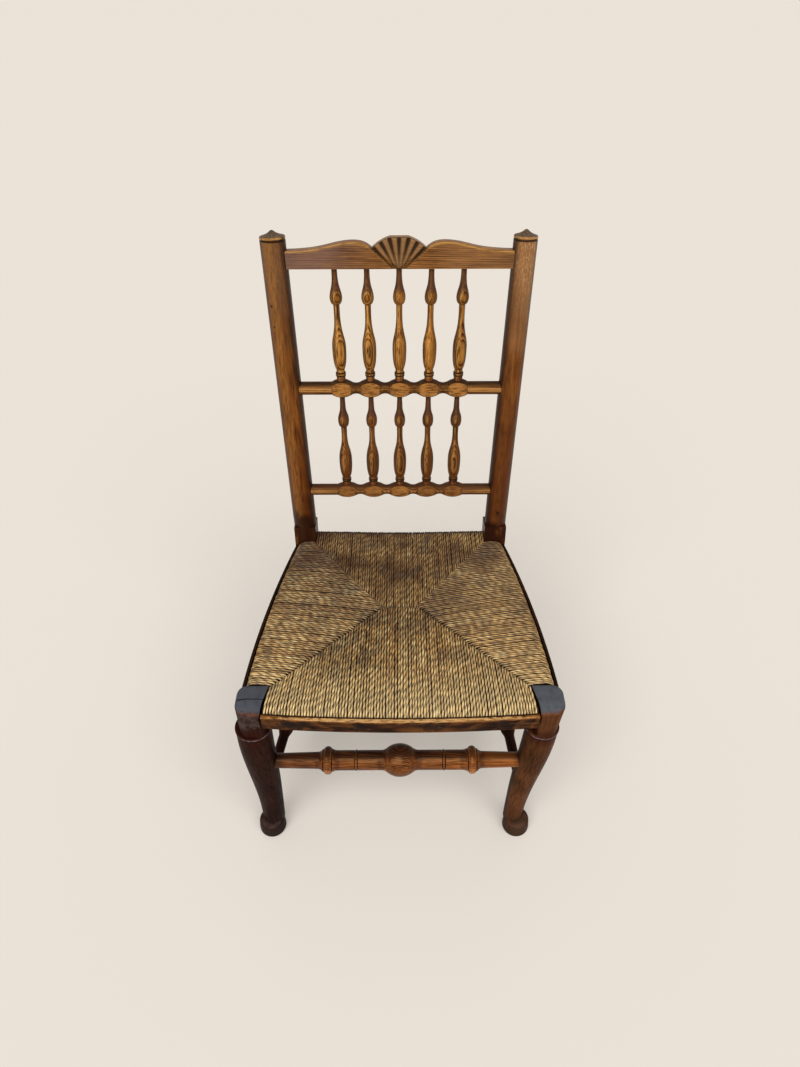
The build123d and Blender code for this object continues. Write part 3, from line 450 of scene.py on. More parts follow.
# The two front legs. Each is one piece of ash with a square block for the seat's joints, its
# worn top gone slate grey, and below it a club leg turned off centre with a pad foot.
leg_wear = {
    "left": {
        "tones": (stain(12, 6, 5), stain(32, 16, 12), stain(46, 24, 17), stain(68, 38, 26)),
        "blotched": 0.5,
        "dust_colour": stain(104, 88, 84),
        "foot_colour": stain(46, 36, 33),
        "slate_colour": stain(76, 78, 84),
    },
    "right": {
        "tones": (stain(28, 14, 6), stain(76, 42, 21), stain(100, 60, 33), stain(128, 82, 47)),
        "blotched": 0.3,
        "dust_colour": stain(78, 46, 30),
        "foot_colour": stain(54, 41, 34),
        "slate_colour": stain(84, 87, 92),
    },
}
up = Vector((0.0, 0.0, 1.0))
block_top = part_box("front_leg_left")[1].z
block_height = 0.069
club_top = Vector((0.0, 0.0, block_top - block_height))
for side_name, side in (("left", -1), ("right", 1)):
    wear = leg_wear[side_name]
    heart = (middle_x + side * 0.27, front_axis + 0.05, 0.2)
    leg_grain = (0.05 * side, 0.02, 1.0)
    leg_figure = {"figure": 0.12, "wander": 2.0, "streaky": 0.28, "wax": 1.07}
    leg = old_wood(f"leg_{side_name}", leg_grain, heart, 0.0024, wear["tones"], **leg_figure)
    # Painted shade where the leg turns away from the front
    shade_away_from_front(leg, stain(18, 10, 8), 0.8)
    lay_over(leg, patches(leg, 30.0, 0.5, 0.72, wear["blotched"], (1, 1, 4)), stain(24, 12, 9))
    below_block = higher(leg, block_top - 0.055, block_top - 0.04, 0.4)
    dusty = both(leg, facing(leg, (-0.3, -1, 0), 0.7, 0.95), below_block)
    lay_over(leg, broken(leg, dusty, 70.0, 0.35, 0.6), wear["dust_colour"])
    lay_over(leg, higher(leg, 0.07, 0.01, 0.8), wear["foot_colour"])
    toe = both(leg, facing(leg, (0, -0.5, 0.8), 0.6, 0.95), higher(leg, 0.040, 0.030, 0.6))
    lay_over(leg, broken(leg, toe, 90.0, 0.3, 0.6, 0.75), stain(88, 68, 60))
    # The bead at the top of the club is worn grey, and old wax and painted shade lie dark above and below it
    darkened = band(leg, up, club_top, (-0.034, -0.012), (0.004, 0.026), 0.6)
    lay_over(leg, broken(leg, darkened, 60.0, 0.2, 0.5), stain(50, 20, 13))
    bead = band(leg, up, club_top, (-0.0058, -0.0046), (-0.0028, -0.0014))
    lay_over(leg, broken(leg, bead, 120.0, 0.35, 0.6, 0.6), stain(122, 102, 106))
    # The roll of the block is rubbed bare below the slate grey of its top
    bare = both(leg, facing(leg, up, 0.18, 0.4), higher(leg, block_top - 0.026, block_top - 0.020))
    lay_over(leg, broken(leg, bare, 160.0, 0.3, 0.6, 0.8, (2, 2, 0.6)), stain(112, 68, 44))
    near_top = higher(leg, block_top - 0.014, block_top - 0.007, 1.0, 0.005, 110.0)
    slate = both(leg, facing(leg, up, 0.3, 0.62), near_top)
    lay_over(leg, slate, wear["slate_colour"])
    lay_over(leg, broken(leg, slate, 70.0, 0.4, 0.75, 0.5), stain(50, 54, 62))
    if side_name == "left":
        # A drying crack runs across the top of the left block
        crack_start = (0, front_axis - 0.004, 0)
        crack = band(leg, (0, 1, 0), crack_start, (-0.0012, -0.0004), (0.0004, 0.0012), 1.0, 0.003, 40.0)
        lay_over(leg, both(leg, crack, higher(leg, block_top - 0.006, block_top - 0.003)), stain(22, 20, 20))
    finish_node(f"front_leg_{side_name}", leg)

# The stretchers, each turned from a length of ash and tenoned into the legs and posts. The front
# one is the show piece, with a ball, beads and collars. The others are plain and dark.


def sideways(material, side, low, high, most=1.0, ragged=0.0, fineness=60.0):
    """A share that grows from the chair's middle to the left for side -1, to the right for 1."""
    return along(material, (side, 0, 0), (middle_x, 0, 0), low, high, most, ragged, fineness)


stretcher_tones = (stain(30, 12, 6), stain(96, 47, 20), stain(144, 76, 31), stain(208, 128, 62))
axis = middle_of("front_stretcher")
heart = (0.0, axis.y - 0.03, axis.z - 0.06)
stretcher_figure = {"tilt": (0.8, 1.5), "figure": 0.9, "wander": 6.0, "streaky": 0.7}
stretcher = old_wood("stretcher_front", (1, 0, 0), heart, 0.0024, stretcher_tones, **stretcher_figure)
# Underneath, the right half is lit by the floor and the left half is dark
lit = both(stretcher, facing(stretcher, (0, -0.5, -1), 0.3, 0.9), sideways(stretcher, 1, 0.0, 0.10, 0.5))
lay_over(stretcher, lit, stain(172, 98, 32))
unlit = both(stretcher, facing(stretcher, (0, -0.4, -1), 0.4, 0.95), sideways(stretcher, 1, 0.03, -0.05, 0.6))
lay_over(stretcher, unlit, stain(52, 24, 13))
# Painted shade darkens the top of the stretcher
lay_over(stretcher, facing(stretcher, (0, 0.22, 1), 0.4, 0.88, 0.86), stain(34, 16, 10))
# A painted highlight along the stretcher where it faces the windows
painted_highlight = facing(stretcher, (-0.15, -0.62, 0.78), 0.93, 0.995)
lay_over(stretcher, broken(stretcher, painted_highlight, 260.0, 0.4, 0.6, 0.4, (7, 1, 1)), stain(176, 118, 72))
lay_over(stretcher, sideways(stretcher, 1, -0.06, -0.19, 0.5, 0.02, 20.0), stain(58, 30, 20))
lay_over(stretcher, sideways(stretcher, 1, 0.05, 0.16, 0.25, 0.02, 20.0), stain(150, 84, 30))
ball_middle = middle_x - 0.001
for side in (-1, 1):
    # A painted pool of light on the lower front of each collar
    collar = (ball_middle + side * 0.1185, axis.y - 0.022, axis.z - 0.001)
    lay_over(stretcher, spot(stretcher, collar, 0.0085, 0.6, (0.9, 1, 1.1)), stain(190, 118, 56))
    # Painted shade where the stretcher goes into the legs
    joint_shade = along(stretcher, (side, 0, 0), (ball_middle, 0, 0), 0.182, 0.2, 0.7)
    lay_over(stretcher, joint_shade, stain(36, 16, 10))
    # Painted shade lies dark in the hollows beside the ball and the collars
    for hollow, reach in ((0.031, 0.009), (0.1035, 0.008), (0.1335, 0.008)):
        hollow_at = (ball_middle + side * hollow, 0, 0)
        darkened = band(stretcher, (1, 0, 0), hollow_at, (-reach, -reach / 4), (reach / 4, reach), 0.55)
        lay_over(stretcher, broken(stretcher, darkened, 60.0, 0.2, 0.5), stain(44, 18, 11))
    for burnt in (0.0693, 0.0743, 0.1112, 0.1258):
        burnt_at = (ball_middle + side * burnt, 0, 0)
        line = band(stretcher, (1, 0, 0), burnt_at, (-0.0011, -0.0005), (0.0005, 0.0011))
        lay_over(stretcher, broken(stretcher, line, 90.0, 0.35, 0.5, 0.92), stain(18, 10, 8))
finish_node("front_stretcher", stretcher)
plain_stretchers = {
    "side_stretcher_left": (0.13, 1, 0),
    "side_stretcher_right": (-0.13, 1, 0),
    "back_stretcher": (1, 0, 0),
}
heart = (middle_x + 0.04, 0.1, 0.1)
for name, grain in plain_stretchers.items():
    plain = old_wood(name, grain, heart, 0.0026, leg_wear["left"]["tones"], figure=0.5, wax=1.1)
    finish_node(name, plain)

# The seat rails. Four plain bars of ash, tenoned into the blocks and wrapped by the rush, so
# that only their ends can be seen.
rail_tones = (stain(60, 38, 22), stain(110, 78, 48), stain(132, 96, 60), stain(160, 122, 80))
for name, grain in (("front", (1, 0, 0)), ("back", (1, 0, 0)), ("left", (0, 1, 0)), ("right", (0, 1, 0))):
    finish_node(f"seat_rail_{name}", old_wood(f"rail_{name}", grain, (0.05, 0.03, 0.4), 0.004, rail_tones))

# The cross rails. Each is turned with a boss for every spindle, and each boss is planed flat
# in front and behind. The flats are rubbed golden, and old wax lies dark above them.
cross_tones = (stain(52, 26, 11), stain(104, 62, 26), stain(140, 88, 38), stain(180, 124, 62))
flat_face = Vector((0.0, -0.987, 0.16)).normalized()
for name, heart_rise, browned in (("upper", 0.03, 0.0), ("lower", -0.02, 0.45)):
    top_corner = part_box(f"{name}_cross_rail")[1]
    heart = (middle_x + 0.02, top_corner.y + 0.04, top_corner.z + heart_rise)
    rail = old_wood(f"cross_rail_{name}", (1, 0, 0), heart, 0.0024, cross_tones, (0.5, 1.0), 0.6)
    lay_over(rail, facing(rail, slope, 0.3, 0.9, 0.88), stain(34, 18, 11))
    # Painted shade on the underside
    lay_over(rail, facing(rail, -slope, 0.3, 0.95, 0.5), stain(60, 34, 18))
    flat = facing(rail, flat_face, 0.9965, 0.9995, 0.7)
    lay_over(rail, broken(rail, flat, 420.0, 0.35, 0.6, 1.0, (5, 1, 1)), stain(184, 126, 64))
    # Each flat has a pale rim, where its edge is rubbed, and wax lies dark round it
    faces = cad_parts[f"{name}_cross_rail"].data.polygons
    middle_faces = [face for face in faces if abs(face.center.x - middle_x) < 0.01]
    flats = [face for face in middle_faces if face.normal.dot(flat_face) > 0.9995]
    flat_top = flat_face * max(flats, key=lambda face: face.area).center.dot(flat_face)
    turned = eased_facing(rail.node_tree, 0.0014, 6, flat_face)
    flat_rim = both(
        rail,
        along(rail, flat_face, flat_top, -0.0010, -0.0005, 0.6),
        level(rail.node_tree, turned, 0.9985, 0.994),
    )
    flat_rim = both(rail, flat_rim, level(rail.node_tree, turned, 0.955, 0.975))
    lay_over(rail, flat_rim, stain(206, 150, 86))
    round_flat = band(rail, flat_face, flat_top, (-0.0032, -0.0018), (-0.0014, -0.0009), 0.45)
    lay_over(rail, round_flat, stain(44, 24, 12))
    if browned:
        lay_over(rail, patches(rail, 8.0, 0.3, 0.6, browned), stain(84, 48, 28))
    finish_node(f"{name}_cross_rail", rail)

# The spindles, ten of them, turned from split ash. The rings of the tree come out as long
# pointed ovals on every swelling. Each has two burnt rings at its collar.
spindle_rows = {
    "upper": {
        "tones": (stain(66, 32, 9), stain(124, 74, 25), stain(160, 102, 38), stain(190, 132, 58)),
        "collar": (0.3092, 0.3155),
        "ball_top": 0.443,
        "streaky": 0.6,
        "painted_highlight": 0.45,
    },
    "lower": {
        "tones": (stain(42, 18, 5), stain(88, 48, 18), stain(116, 67, 28), stain(146, 92, 42)),
        "collar": (0.1149, 0.1200),
        "ball_top": 0.236,
        "streaky": 0.35,
        "painted_highlight": 0.3,
    },
}
# For each spindle, the way from it to the log's heart, the width of a ring and how it shows
figures = {
    ("upper", 1): ((-0.3, 1), 0.0021, 0.9),
    ("upper", 2): ((0.05, 1), 0.0018, 1.0),
    ("upper", 3): ((1, 0.2), 0.0026, 0.75),
    ("upper", 4): ((1, 0.9), 0.0024, 0.35),
    ("upper", 5): ((-0.35, 1), 0.0024, 1.0),
    ("lower", 1): ((0.6, 1), 0.0022, 0.35),
    ("lower", 2): ((0.2, 1), 0.0020, 0.5),
    ("lower", 3): ((-0.1, 1), 0.0019, 0.6),
    ("lower", 4): ((1, 0.3), 0.0024, 0.5),
    ("lower", 5): ((0.1, 1), 0.0023, 0.7),
}
draws = random.Random(11)
for (row_name, count), (to_heart, ring, figure) in figures.items():
    row = spindle_rows[row_name]
    name = f"{row_name}_spindle_{count}"
    heart = middle_of(name) + Vector((*to_heart, 0)).normalized() * draws.uniform(0.035, 0.06)
    spindle_figure = {
        "tilt": (draws.uniform(-1.5, 1.5), draws.uniform(-1.5, 1.5)),
        "figure": figure,
        "wander": 5.0,
        "streaky": row["streaky"],
        "rub": 0.3,
    }
    spindle = old_wood(name, slope, heart, ring, row["tones"], **spindle_figure)
    # A painted highlight where the spindle faces the windows
    to_window = facing(spindle, (-0.22, -0.93, 0.28), 0.93, 0.995)
    painted_highlight = broken(spindle, to_window, 420.0, 0.36, 0.58, row["painted_highlight"], (1, 1, 12))
    lay_over(spindle, painted_highlight, stain(220, 166, 98))
    collar_low, collar_high = row["collar"]
    foot = along(spindle, slope, back_foot, collar_low, collar_low - 0.004, 0.6)
    lay_over(spindle, foot, stain(96, 46, 26))
    for burnt in (collar_low + 0.0011, collar_high - 0.0011):
        rise = (burnt - 0.0015, burnt - 0.0008)
        fall = (burnt + 0.0008, burnt + 0.0015)
        lay_over(spindle, band(spindle, slope, back_foot, rise, fall, 0.95), stain(16, 11, 10))
    neck = along(spindle, slope, back_foot, row["ball_top"] - 0.004, row["ball_top"] + 0.008, 0.78, 0.003)
    lay_over(spindle, neck, stain(70, 42, 32))
    # Painted shade on both sides of each spindle
    for side in (1, -1):
        lay_over(spindle, facing(spindle, (side, 0.3, 0), 0.4, 0.9, 0.88), stain(32, 16, 9))
    finish_node(name, spindle)

# The crest rail. One sawn board of ash with a shell gouged in its middle. Wax lies dark in the
# gouges and over the left half, and hands have rubbed the upper edge golden.
crest_tones = (stain(58, 32, 18), stain(110, 70, 38), stain(136, 88, 46), stain(172, 122, 68))
crest_low, crest_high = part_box("crest_rail")
heart = (0.1, crest_high.y + 0.02, crest_low.z - 0.05)
crest_figure = {"tilt": (0.0, 1.0), "figure": 0.45, "grime_and_shade": 0.95}
crest = old_wood("crest", (1, 0, 0), heart, 0.0025, crest_tones, **crest_figure)
lay_over(crest, sideways(crest, -1, 0.02, 0.13, 0.5, 0.03, 14.0), stain(112, 92, 90))
lay_over(crest, sideways(crest, 1, 0.04, 0.10, 0.18, 0.03, 14.0), stain(158, 118, 82))
lay_over(crest, patches(crest, 22.0, 0.52, 0.7, 0.3, (3, 1, 1)), stain(92, 58, 44))
lay_over(crest, facing(crest, slope, 0.25, 0.75, 0.35), stain(150, 104, 48))
# The ribs of the shell are pale, inside a fan that opens upwards from its foot
fan_foot = (middle_x, 0, crest_low.z + 0.003)
fan_left = along(crest, (0.62, 0, 0.79), fan_foot, 0.0, 0.002)
fan_right = along(crest, (-0.62, 0, 0.79), fan_foot, 0.0, 0.002, 0.4)
lay_over(crest, both(crest, fan_left, fan_right), stain(164, 128, 88))
crest_face = flat_face * max(point.co.dot(flat_face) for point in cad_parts["crest_rail"].data.vertices)
below_face = along(crest, -flat_face, crest_face, 0.0010, 0.0025, 0.93)
gouged = both(crest, facing(crest, flat_face, 0.3, 0.6), below_face)
for side in (-1, 1):
    gouged = both(crest, gouged, sideways(crest, side, 0.047, 0.043))
lay_over(crest, gouged, stain(28, 17, 12))
# Beside the shell the front is rubbed golden below its upper edge, and most along the rim
eased = eased_facing(crest.node_tree, 0.007, 8, slope)
near_top = both(crest, level(crest.node_tree, eased, 0.03, 0.3, 0.0, 0.6), facing(crest, flat_face, 0.7, 0.9))
near_top = broken(crest, near_top, 150.0, 0.25, 0.6, 1.0, (4, 1, 1))
for side in (-1, 1):
    lay_over(crest, both(crest, near_top, sideways(crest, side, 0.045, 0.050)), stain(172, 130, 68))
near_face = band(crest, -flat_face, crest_face, (-0.0001, 0.0002), (0.0006, 0.0022), 0.8)
top_rim = both(crest, near_face, facing(crest, slope, 0.15, 0.5))
top_rim = broken(crest, top_rim, 200.0, 0.35, 0.55, 1.0, (6, 1, 1))
for side in (-1, 1):
    lay_over(crest, both(crest, top_rim, sideways(crest, side, 0.043, 0.047)), stain(190, 140, 78))
lay_over(crest, broken(crest, facing(crest, -slope, 0.2, 0.7), 60.0, 0.3, 0.6, 0.8), stain(150, 100, 50))
finish_node("crest_rail", crest)

# The rush seat. Rushes are twisted into one long cord as the seat is wound: over a rail, up
# through the middle, over the next rail and on to the next corner. The cords of each side
# meet the next side's along a seam, and the last to be laid there lies on top.

# A cord's section has two strands, as shares of its radius, and twists half round in its
# twist length. No two cords lie or swell quite alike.
cord_radius = 0.00218
cord_outline = (1.03, 1.0, 0.88, 1.0, 1.03, 1.0, 0.88, 1.0)
twist_length = 0.014
swelling = 0.07
spacing_slip = 0.1
side_wander = 0.0005
out_wander = 0.0004
# Lengths between a cord's points above and below, and how many there are round the rail
top_step = 0.0022
under_step = 0.005
upper_turns, side_turns, lower_turns = 8, 4, 4
# The seat is thin and soft: rolled over the rails, crowned beside them and sagging inside
seat_top = block_top - 0.004
seat_under = block_top - 0.042
roll = 0.013
seat_crown = 0.0016
seat_sag = 0.007
under_sag = 0.005
back_rise = 0.004
rise_start = 0.15
rise_length = 0.2
# The edge of the rush and its seams, measured from the front legs' axis and the chair's middle
front_half = 0.240
front_reach = 0.2045
front_edge = -0.0207
front_bow = 0.0105
side_start = 0.0275
side_length = 0.322
side_bow = 0.012
back_half = 0.179
back_reach = 0.154
back_edge = 0.389
front_corner = Vector((0.1985, 0.025))
back_corner = Vector((0.155, 0.3515))
ridge_end = Vector((0.030, 0.198))
ridge_turns = {"left": 0.58, "right": 0.62}
back_over_from = 0.4
# How a cord comes up at its seam, as lengths past the seam and drops below the seat's top, and
# how far its other end goes past the lower seam and up into it
seam_dips = {
    "over": ((0.0022, 0.010), (0.0026, 0.0062), (0.0014, 0.0026), (-0.0012, 0.0006)),
    "under": ((0.0020, 0.011), (0.0008, 0.007), (-0.0012, 0.0038), (-0.0040, 0.0016)),
}
tuck_past, tuck_up = 0.002, 0.004


def seat_edge(side, share):
    """A point on the outer edge of the rush. The share grows round the seat: along the front to
    the right, then to the back, to the left and to the front again."""
    if side == "front":
        x = front_reach * (2 * share - 1)
        return Vector((x, front_edge - front_bow * (1 - (x / front_half) ** 2)))
    if side == "back":
        return Vector((back_reach * (1 - 2 * share), back_edge))
    y = side_start + side_length * (share if side == "right" else 1 - share)
    gone = (y - front_edge) / (back_edge - front_edge)
    x = front_half + (back_half - front_half) * gone + side_bow * 4 * gone * (1 - gone)
    return Vector((x if side == "right" else -x, y))


def seam_point(side, share):
    """Where the cord from that share of an edge meets its seam, and how far along the seam
    that is, from 0 at the leg to 1 at the ridge."""
    if side in ("front", "back"):
        corner = front_corner if side == "front" else back_corner
        x = corner.x * (2 * share - 1) * (1 if side == "front" else -1)
        up_seam = min(1.0, (corner.x - abs(x)) / (corner.x - ridge_end.x))
        return Vector((x, corner.y + (ridge_end.y - corner.y) * up_seam)), up_seam
    from_front = share if side == "right" else 1 - share
    turn = ridge_turns[side]
    if from_front < turn:
        up_seam = from_front / turn
        point = front_corner.lerp(ridge_end, up_seam)
    else:
        up_seam = (1 - from_front) / (1 - turn)
        point = back_corner.lerp(ridge_end, up_seam)
    return Vector((point.x if side == "right" else -point.x, point.y)), up_seam


def lies_over(side, share):
    """Whether the cord lies on top of the field that it meets at its seam."""
    if side == "left":
        return share > 1 - ridge_turns["left"]
    if side == "back":
        return share > back_over_from
    return side == "right"


def cord_path(side, share, draw):
    """Points of one cord from its upper seam, round the rail and back to its lower seam, each
    with its way out of the seat."""
    edge = seat_edge(side, share)
    seam, up_seam = seam_point(side, share)
    inward = seam - edge
    run = inward.length
    inward.normalize()
    rise = back_rise * max(0.0, min(1.0, (seam.y - rise_start) / rise_length))
    top = seat_top - cord_radius + rise
    under = seat_under + cord_radius
    sag = seat_sag * up_seam
    dips = seam_dips["over" if lies_over(side, share) else "under"]
    points = [(run + past, top - sag - drop, (inward.x, inward.y, 0.6)) for past, drop in dips]
    # Over the stuffing to the rail
    start = points[-1][0] - top_step
    count = max(2, round((start - roll) / top_step))
    for step in range(count + 1):
        gone = start + (roll - start) * step / count
        ease = max(0.0, gone / run) ** 1.3
        crown = seat_crown * math.sin(math.pi * min(1.0, gone / run))
        points.append((gone, top - sag * ease + crown, (0, 0, 1)))
    # Round the rail: over its upper edge, down its side and under its lower edge
    bend = roll - cord_radius
    upper = top - bend
    lower = under + bend
    turns = [(upper, math.radians(90 * step / upper_turns)) for step in range(1, upper_turns + 1)]
    side_drop = (lower - upper) / side_turns
    turns += [(upper + side_drop * step, math.radians(90)) for step in range(1, side_turns)]
    turns += [(lower, math.radians(90 + 90 * step / lower_turns)) for step in range(lower_turns + 1)]
    for centre, angle in turns:
        way = (-inward.x * math.sin(angle), -inward.y * math.sin(angle), math.cos(angle))
        points.append((roll - bend * math.sin(angle), centre + bend * math.cos(angle), way))
    # Back below the stuffing, and up into the lower seam
    count = max(2, round((run - roll) / under_step))
    for step in range(1, count + 1):
        gone = roll + (run - roll) * step / count
        points.append((gone, under + under_sag * up_seam * gone / run, (0, 0, -1)))
    points.append((run + tuck_past, under + under_sag * up_seam + tuck_up, (inward.x, inward.y, -0.6)))
    # The cord wanders a little as it is pulled tight beside the last one
    across_cord = Vector((-inward.y, inward.x, 0))
    phase = draw.uniform(0, 100)
    path = []
    for gone, height, way in points:
        point = Vector((edge.x + inward.x * gone + middle_x, edge.y + inward.y * gone + front_axis, height))
        way = Vector(way).normalized()
        point += across_cord * noise.noise(Vector((gone * 40, phase, 0))) * side_wander
        point += way * noise.noise(Vector((gone * 60, phase, 7))) * out_wander
        path.append((point, way))
    return path


def further_back(material, low, high, most):
    """A share that grows from the front legs' axis towards the back."""
    return along(material, (0, 1, 0), (0, front_axis, 0), low, high, most)


def rush_material():
    """Dry rush, golden at the front and darker towards the back."""
    material, tree, surface = new_finish("rush_cord")
    tone, lift, crease, lay = (
        node(tree, "ShaderNodeAttribute", attribute_name=name).outputs
        for name in ("tone", "lift", "crease", "lay")
    )
    straw = [
        (0.0, stain(112, 78, 44)),
        (0.35, stain(190, 146, 88)),
        (0.6, stain(228, 182, 114)),
        (1.0, stain(255, 226, 162)),
    ]
    fibre_inputs = {"Vector": lay["Vector"], "Scale": 1.0, "Detail": 3.0, "Roughness": 0.65}
    fibres = node(tree, "ShaderNodeTexNoise", fibre_inputs).outputs["Fac"]
    bump = node(tree, "ShaderNodeBump", {"Height": fibres, "Strength": 0.5, "Distance": 0.0004})
    surface_inputs = {
        "Base Color": ramp(tree, tone["Fac"], straw),
        "Roughness": 0.6,
        "Specular IOR Level": 0.3,
        "Normal": bump.outputs["Normal"],
    }
    fill_in(tree, surface, surface_inputs)
    # Darker towards the back, soiled in patches, pale on the right, and pale in front, partly a painted
    # highlight where the roll faces the light
    soiled = level(tree, cloud(tree, 15.0, 4.0), 0.3, 0.75, 0.55, 1.3)
    lay_over(material, both(material, further_back(material, 0.0, 0.34, 0.9), soiled), stain(92, 60, 32))
    lay_over(material, patches(material, 26.0, 0.48, 0.66, 0.45), stain(90, 76, 66))
    lay_over(material, patches(material, 60.0, 0.54, 0.7, 0.5), stain(74, 52, 34))
    smudges = ((-0.10, 0.085, 0.065, 0.45), (0.135, 0.055, 0.04, 0.3), (0.0, 0.165, 0.05, 0.2))
    for across, back, radius, most in smudges:
        smudge = spot(material, (middle_x + across, front_axis + back, seat_top), radius, most, (1.3, 1, 1))
        lay_over(material, broken(material, smudge, 120.0, 0.3, 0.6), stain(72, 62, 56))
    lay_over(material, sideways(material, 1, 0.04, 0.16, 0.12), stain(255, 206, 138))
    lay_over(material, further_back(material, 0.09, -0.03, 0.6), stain(255, 224, 162))
    # Dark between the fibres; painted shade between the strands, and dirt and painted shade between the cords
    lay_over(material, level(tree, fibres, 0.48, 0.66, 0.0, 0.6), stain(92, 64, 38))
    lay_over(material, level(tree, crease["Fac"], 0.6, 0.98, 0.0, 0.6), stain(60, 40, 24))
    lay_over(material, level(tree, lift["Fac"], 0.85, 0.3, 0.0, 0.97), stain(20, 13, 8))
    # Darker below the roll of the edge and where the back field turns down, with dust and painted shade
    lay_over(material, higher(material, seat_top - 0.006, seat_top - 0.013, 0.88), stain(34, 24, 16))
    lay_over(material, further_back(material, back_edge - 0.016, back_edge - 0.011, 0.92), stain(32, 22, 15))
    return material


def rush_piece(name, mesh, finish):
    """One of the pieces that together take the place of the rush seat's plain solid."""
    mesh.materials.append(finish)
    piece = put_in_room(name, mesh)
    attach(piece, "root")
    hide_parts("rush_seat")


rush_straw = rush_material()
corners = len(cord_outline)
angles = [2 * math.pi * corner / corners for corner in range(corners)]
section_data = bpy.data.curves.new("cord_section", "CURVE")
section_data.dimensions = "2D"
section = section_data.splines.new("POLY")
section.points.add(corners - 1)
for point, angle, reach in zip(section.points, angles, cord_outline):
    point.co = (cord_radius * reach * math.cos(angle), cord_radius * reach * math.sin(angle), 0, 1)
section.use_cyclic_u = True
section_object = put_in_room("cord_section", section_data)


def weave_field(side, cords, seed):
    """One side's cords as a mesh, each a two-stranded cord round the side's rail."""
    draw = random.Random(seed)
    data = bpy.data.curves.new(f"rush_{side}", "CURVE")
    data.dimensions = "3D"
    data.twist_mode = "MINIMUM"
    data.bevel_mode = "OBJECT"
    data.bevel_object = section_object
    paths = []
    for count in range(cords):
        share = (count + 0.5 + draw.uniform(-spacing_slip, spacing_slip)) / cords
        path = cord_path(side, share, draw)
        paths.append(path)
        spline = data.splines.new("POLY")
        spline.points.add(len(path) - 1)
        twist = draw.uniform(0, math.pi)
        pace = draw.uniform(0.85, 1.2)
        size = draw.uniform(0.95, 1.05)
        last = path[0][0]
        for place, (point, _) in zip(spline.points, path):
            twist += math.pi * (point - last).length / twist_length * pace
            last = point
            place.co = (*point, 1.0)
            place.tilt = twist
            place.radius = size * (1 + swelling * noise.noise(point * 90))
    curve = put_in_room(f"rush_{side}_curve", data)
    mesh = bpy.data.meshes.new_from_object(curve.evaluated_get(bpy.context.evaluated_depsgraph_get()))
    mesh.name = f"rush_{side}"
    bpy.data.objects.remove(curve)
    # Where each point of the surface lies on its cord, for the colours
    places = np.zeros(len(mesh.vertices) * 3, np.float32)
    mesh.vertices.foreach_get("co", places)
    centres = np.repeat(np.array([point for path in paths for point, _ in path]), corners, axis=0)
    ways = np.repeat(np.array([way for path in paths for _, way in path]), corners, axis=0)
    lift = ((places.reshape(-1, 3) - centres) * ways).sum(1) / cord_radius
    crease = np.tile([abs(math.sin(angle)) for angle in angles], len(lift) // corners)
    # How fast blotches and fibres change along a cord, round it, and from one to the next
    blotch_pace, next_strand, next_blotches = 85, 40.0, 3.7
    fibre_pace, fibre_turn, next_fibres = 70, 2.4, 5
    tone = []
    lay = []
    for count, path in enumerate(paths):
        base = draw.uniform(0.38, 0.74)
        gone = 0.0
        last = path[0][0]
        for point, _ in path:
            gone += (point - last).length
            last = point
            for angle in angles:
                strand = next_strand if math.cos(angle) > 0.01 else 0.0
                blotch = noise.noise(Vector((gone * blotch_pace, count * next_blotches + strand, seed)))
                tone.append(min(1.0, max(0.0, base + 0.7 * blotch)))
                across, out = math.cos(angle) * fibre_turn, math.sin(angle) * fibre_turn
                lay += [across + count * next_fibres, out, gone * fibre_pace]
    for name, values in (("lift", lift), ("crease", crease), ("tone", tone)):
        mesh.attributes.new(name, "FLOAT", "POINT").data.foreach_set("value", np.array(values, np.float32))
    mesh.attributes.new("lay", "FLOAT_VECTOR", "POINT").data.foreach_set("vector", np.array(lay, np.float32))
    # The tips of the cords are closed
    tips = bmesh.new()
    tips.from_mesh(mesh)
    bmesh.ops.holes_fill(tips, edges=[edge for edge in tips.edges if edge.is_boundary], sides=0)
    bmesh.ops.recalc_face_normals(tips, faces=tips.faces)
    tips.to_mesh(mesh)
    tips.free()
    mesh.polygons.foreach_set("use_smooth", [True] * len(mesh.polygons))
    rush_piece(f"rush_cords_{side}", mesh, rush_straw)


for side, cords, seed in (("front", 94, 1), ("right", 76, 2), ("back", 80, 3), ("left", 76, 4)):
    weave_field(side, cords, seed)
bpy.data.objects.remove(section_object)

# The stuffing of the seat. A flat pad of broken rush, pushed in between the upper and the lower
# cords as they are wound.


def speckled(name, scale, detail, dark, pale, roughness, metal=0.0):
    """A finish speckled with two colours."""
    material, tree, surface = new_finish(name)
    speckles = ramp(tree, cloud(tree, scale, detail), [(0.35, dark), (0.7, pale)])
    fill_in(tree, surface, {"Base Color": speckles, "Roughness": roughness, "Metallic": metal})
    return material


stuffing = speckled("rush_stuffing", 300.0, 5.0, stain(26, 19, 13), stain(66, 48, 30), 0.9)
pad_right = [(0.213, -0.004), (0.196, 0.18), (0.15, 0.372)]
pad_left = [(-0.15, 0.372), (-0.196, 0.18), (-0.213, -0.004)]
pad_top = seat_top - 0.0115
pad_thickness = 0.013
pad = bmesh.new()
pad_corners = [pad.verts.new((middle_x + x, front_axis + y, pad_top)) for x, y in pad_right + pad_left]
bmesh.ops.inset_region(pad, faces=[pad.faces.new(pad_corners)], thickness=0.06, depth=-0.004)
lifted = bmesh.ops.extrude_face_region(pad, geom=pad.faces[:])["geom"]
lowered = [item for item in lifted if isinstance(item, bmesh.types.BMVert)]
bmesh.ops.translate(pad, verts=lowered, vec=(0, 0, -pad_thickness))
bmesh.ops.recalc_face_normals(pad, faces=pad.faces)
pad_mesh = bpy.data.meshes.new("rush_stuffing")
pad.to_mesh(pad_mesh)
pad.free()
rush_piece("rush_stuffing", pad_mesh, stuffing)

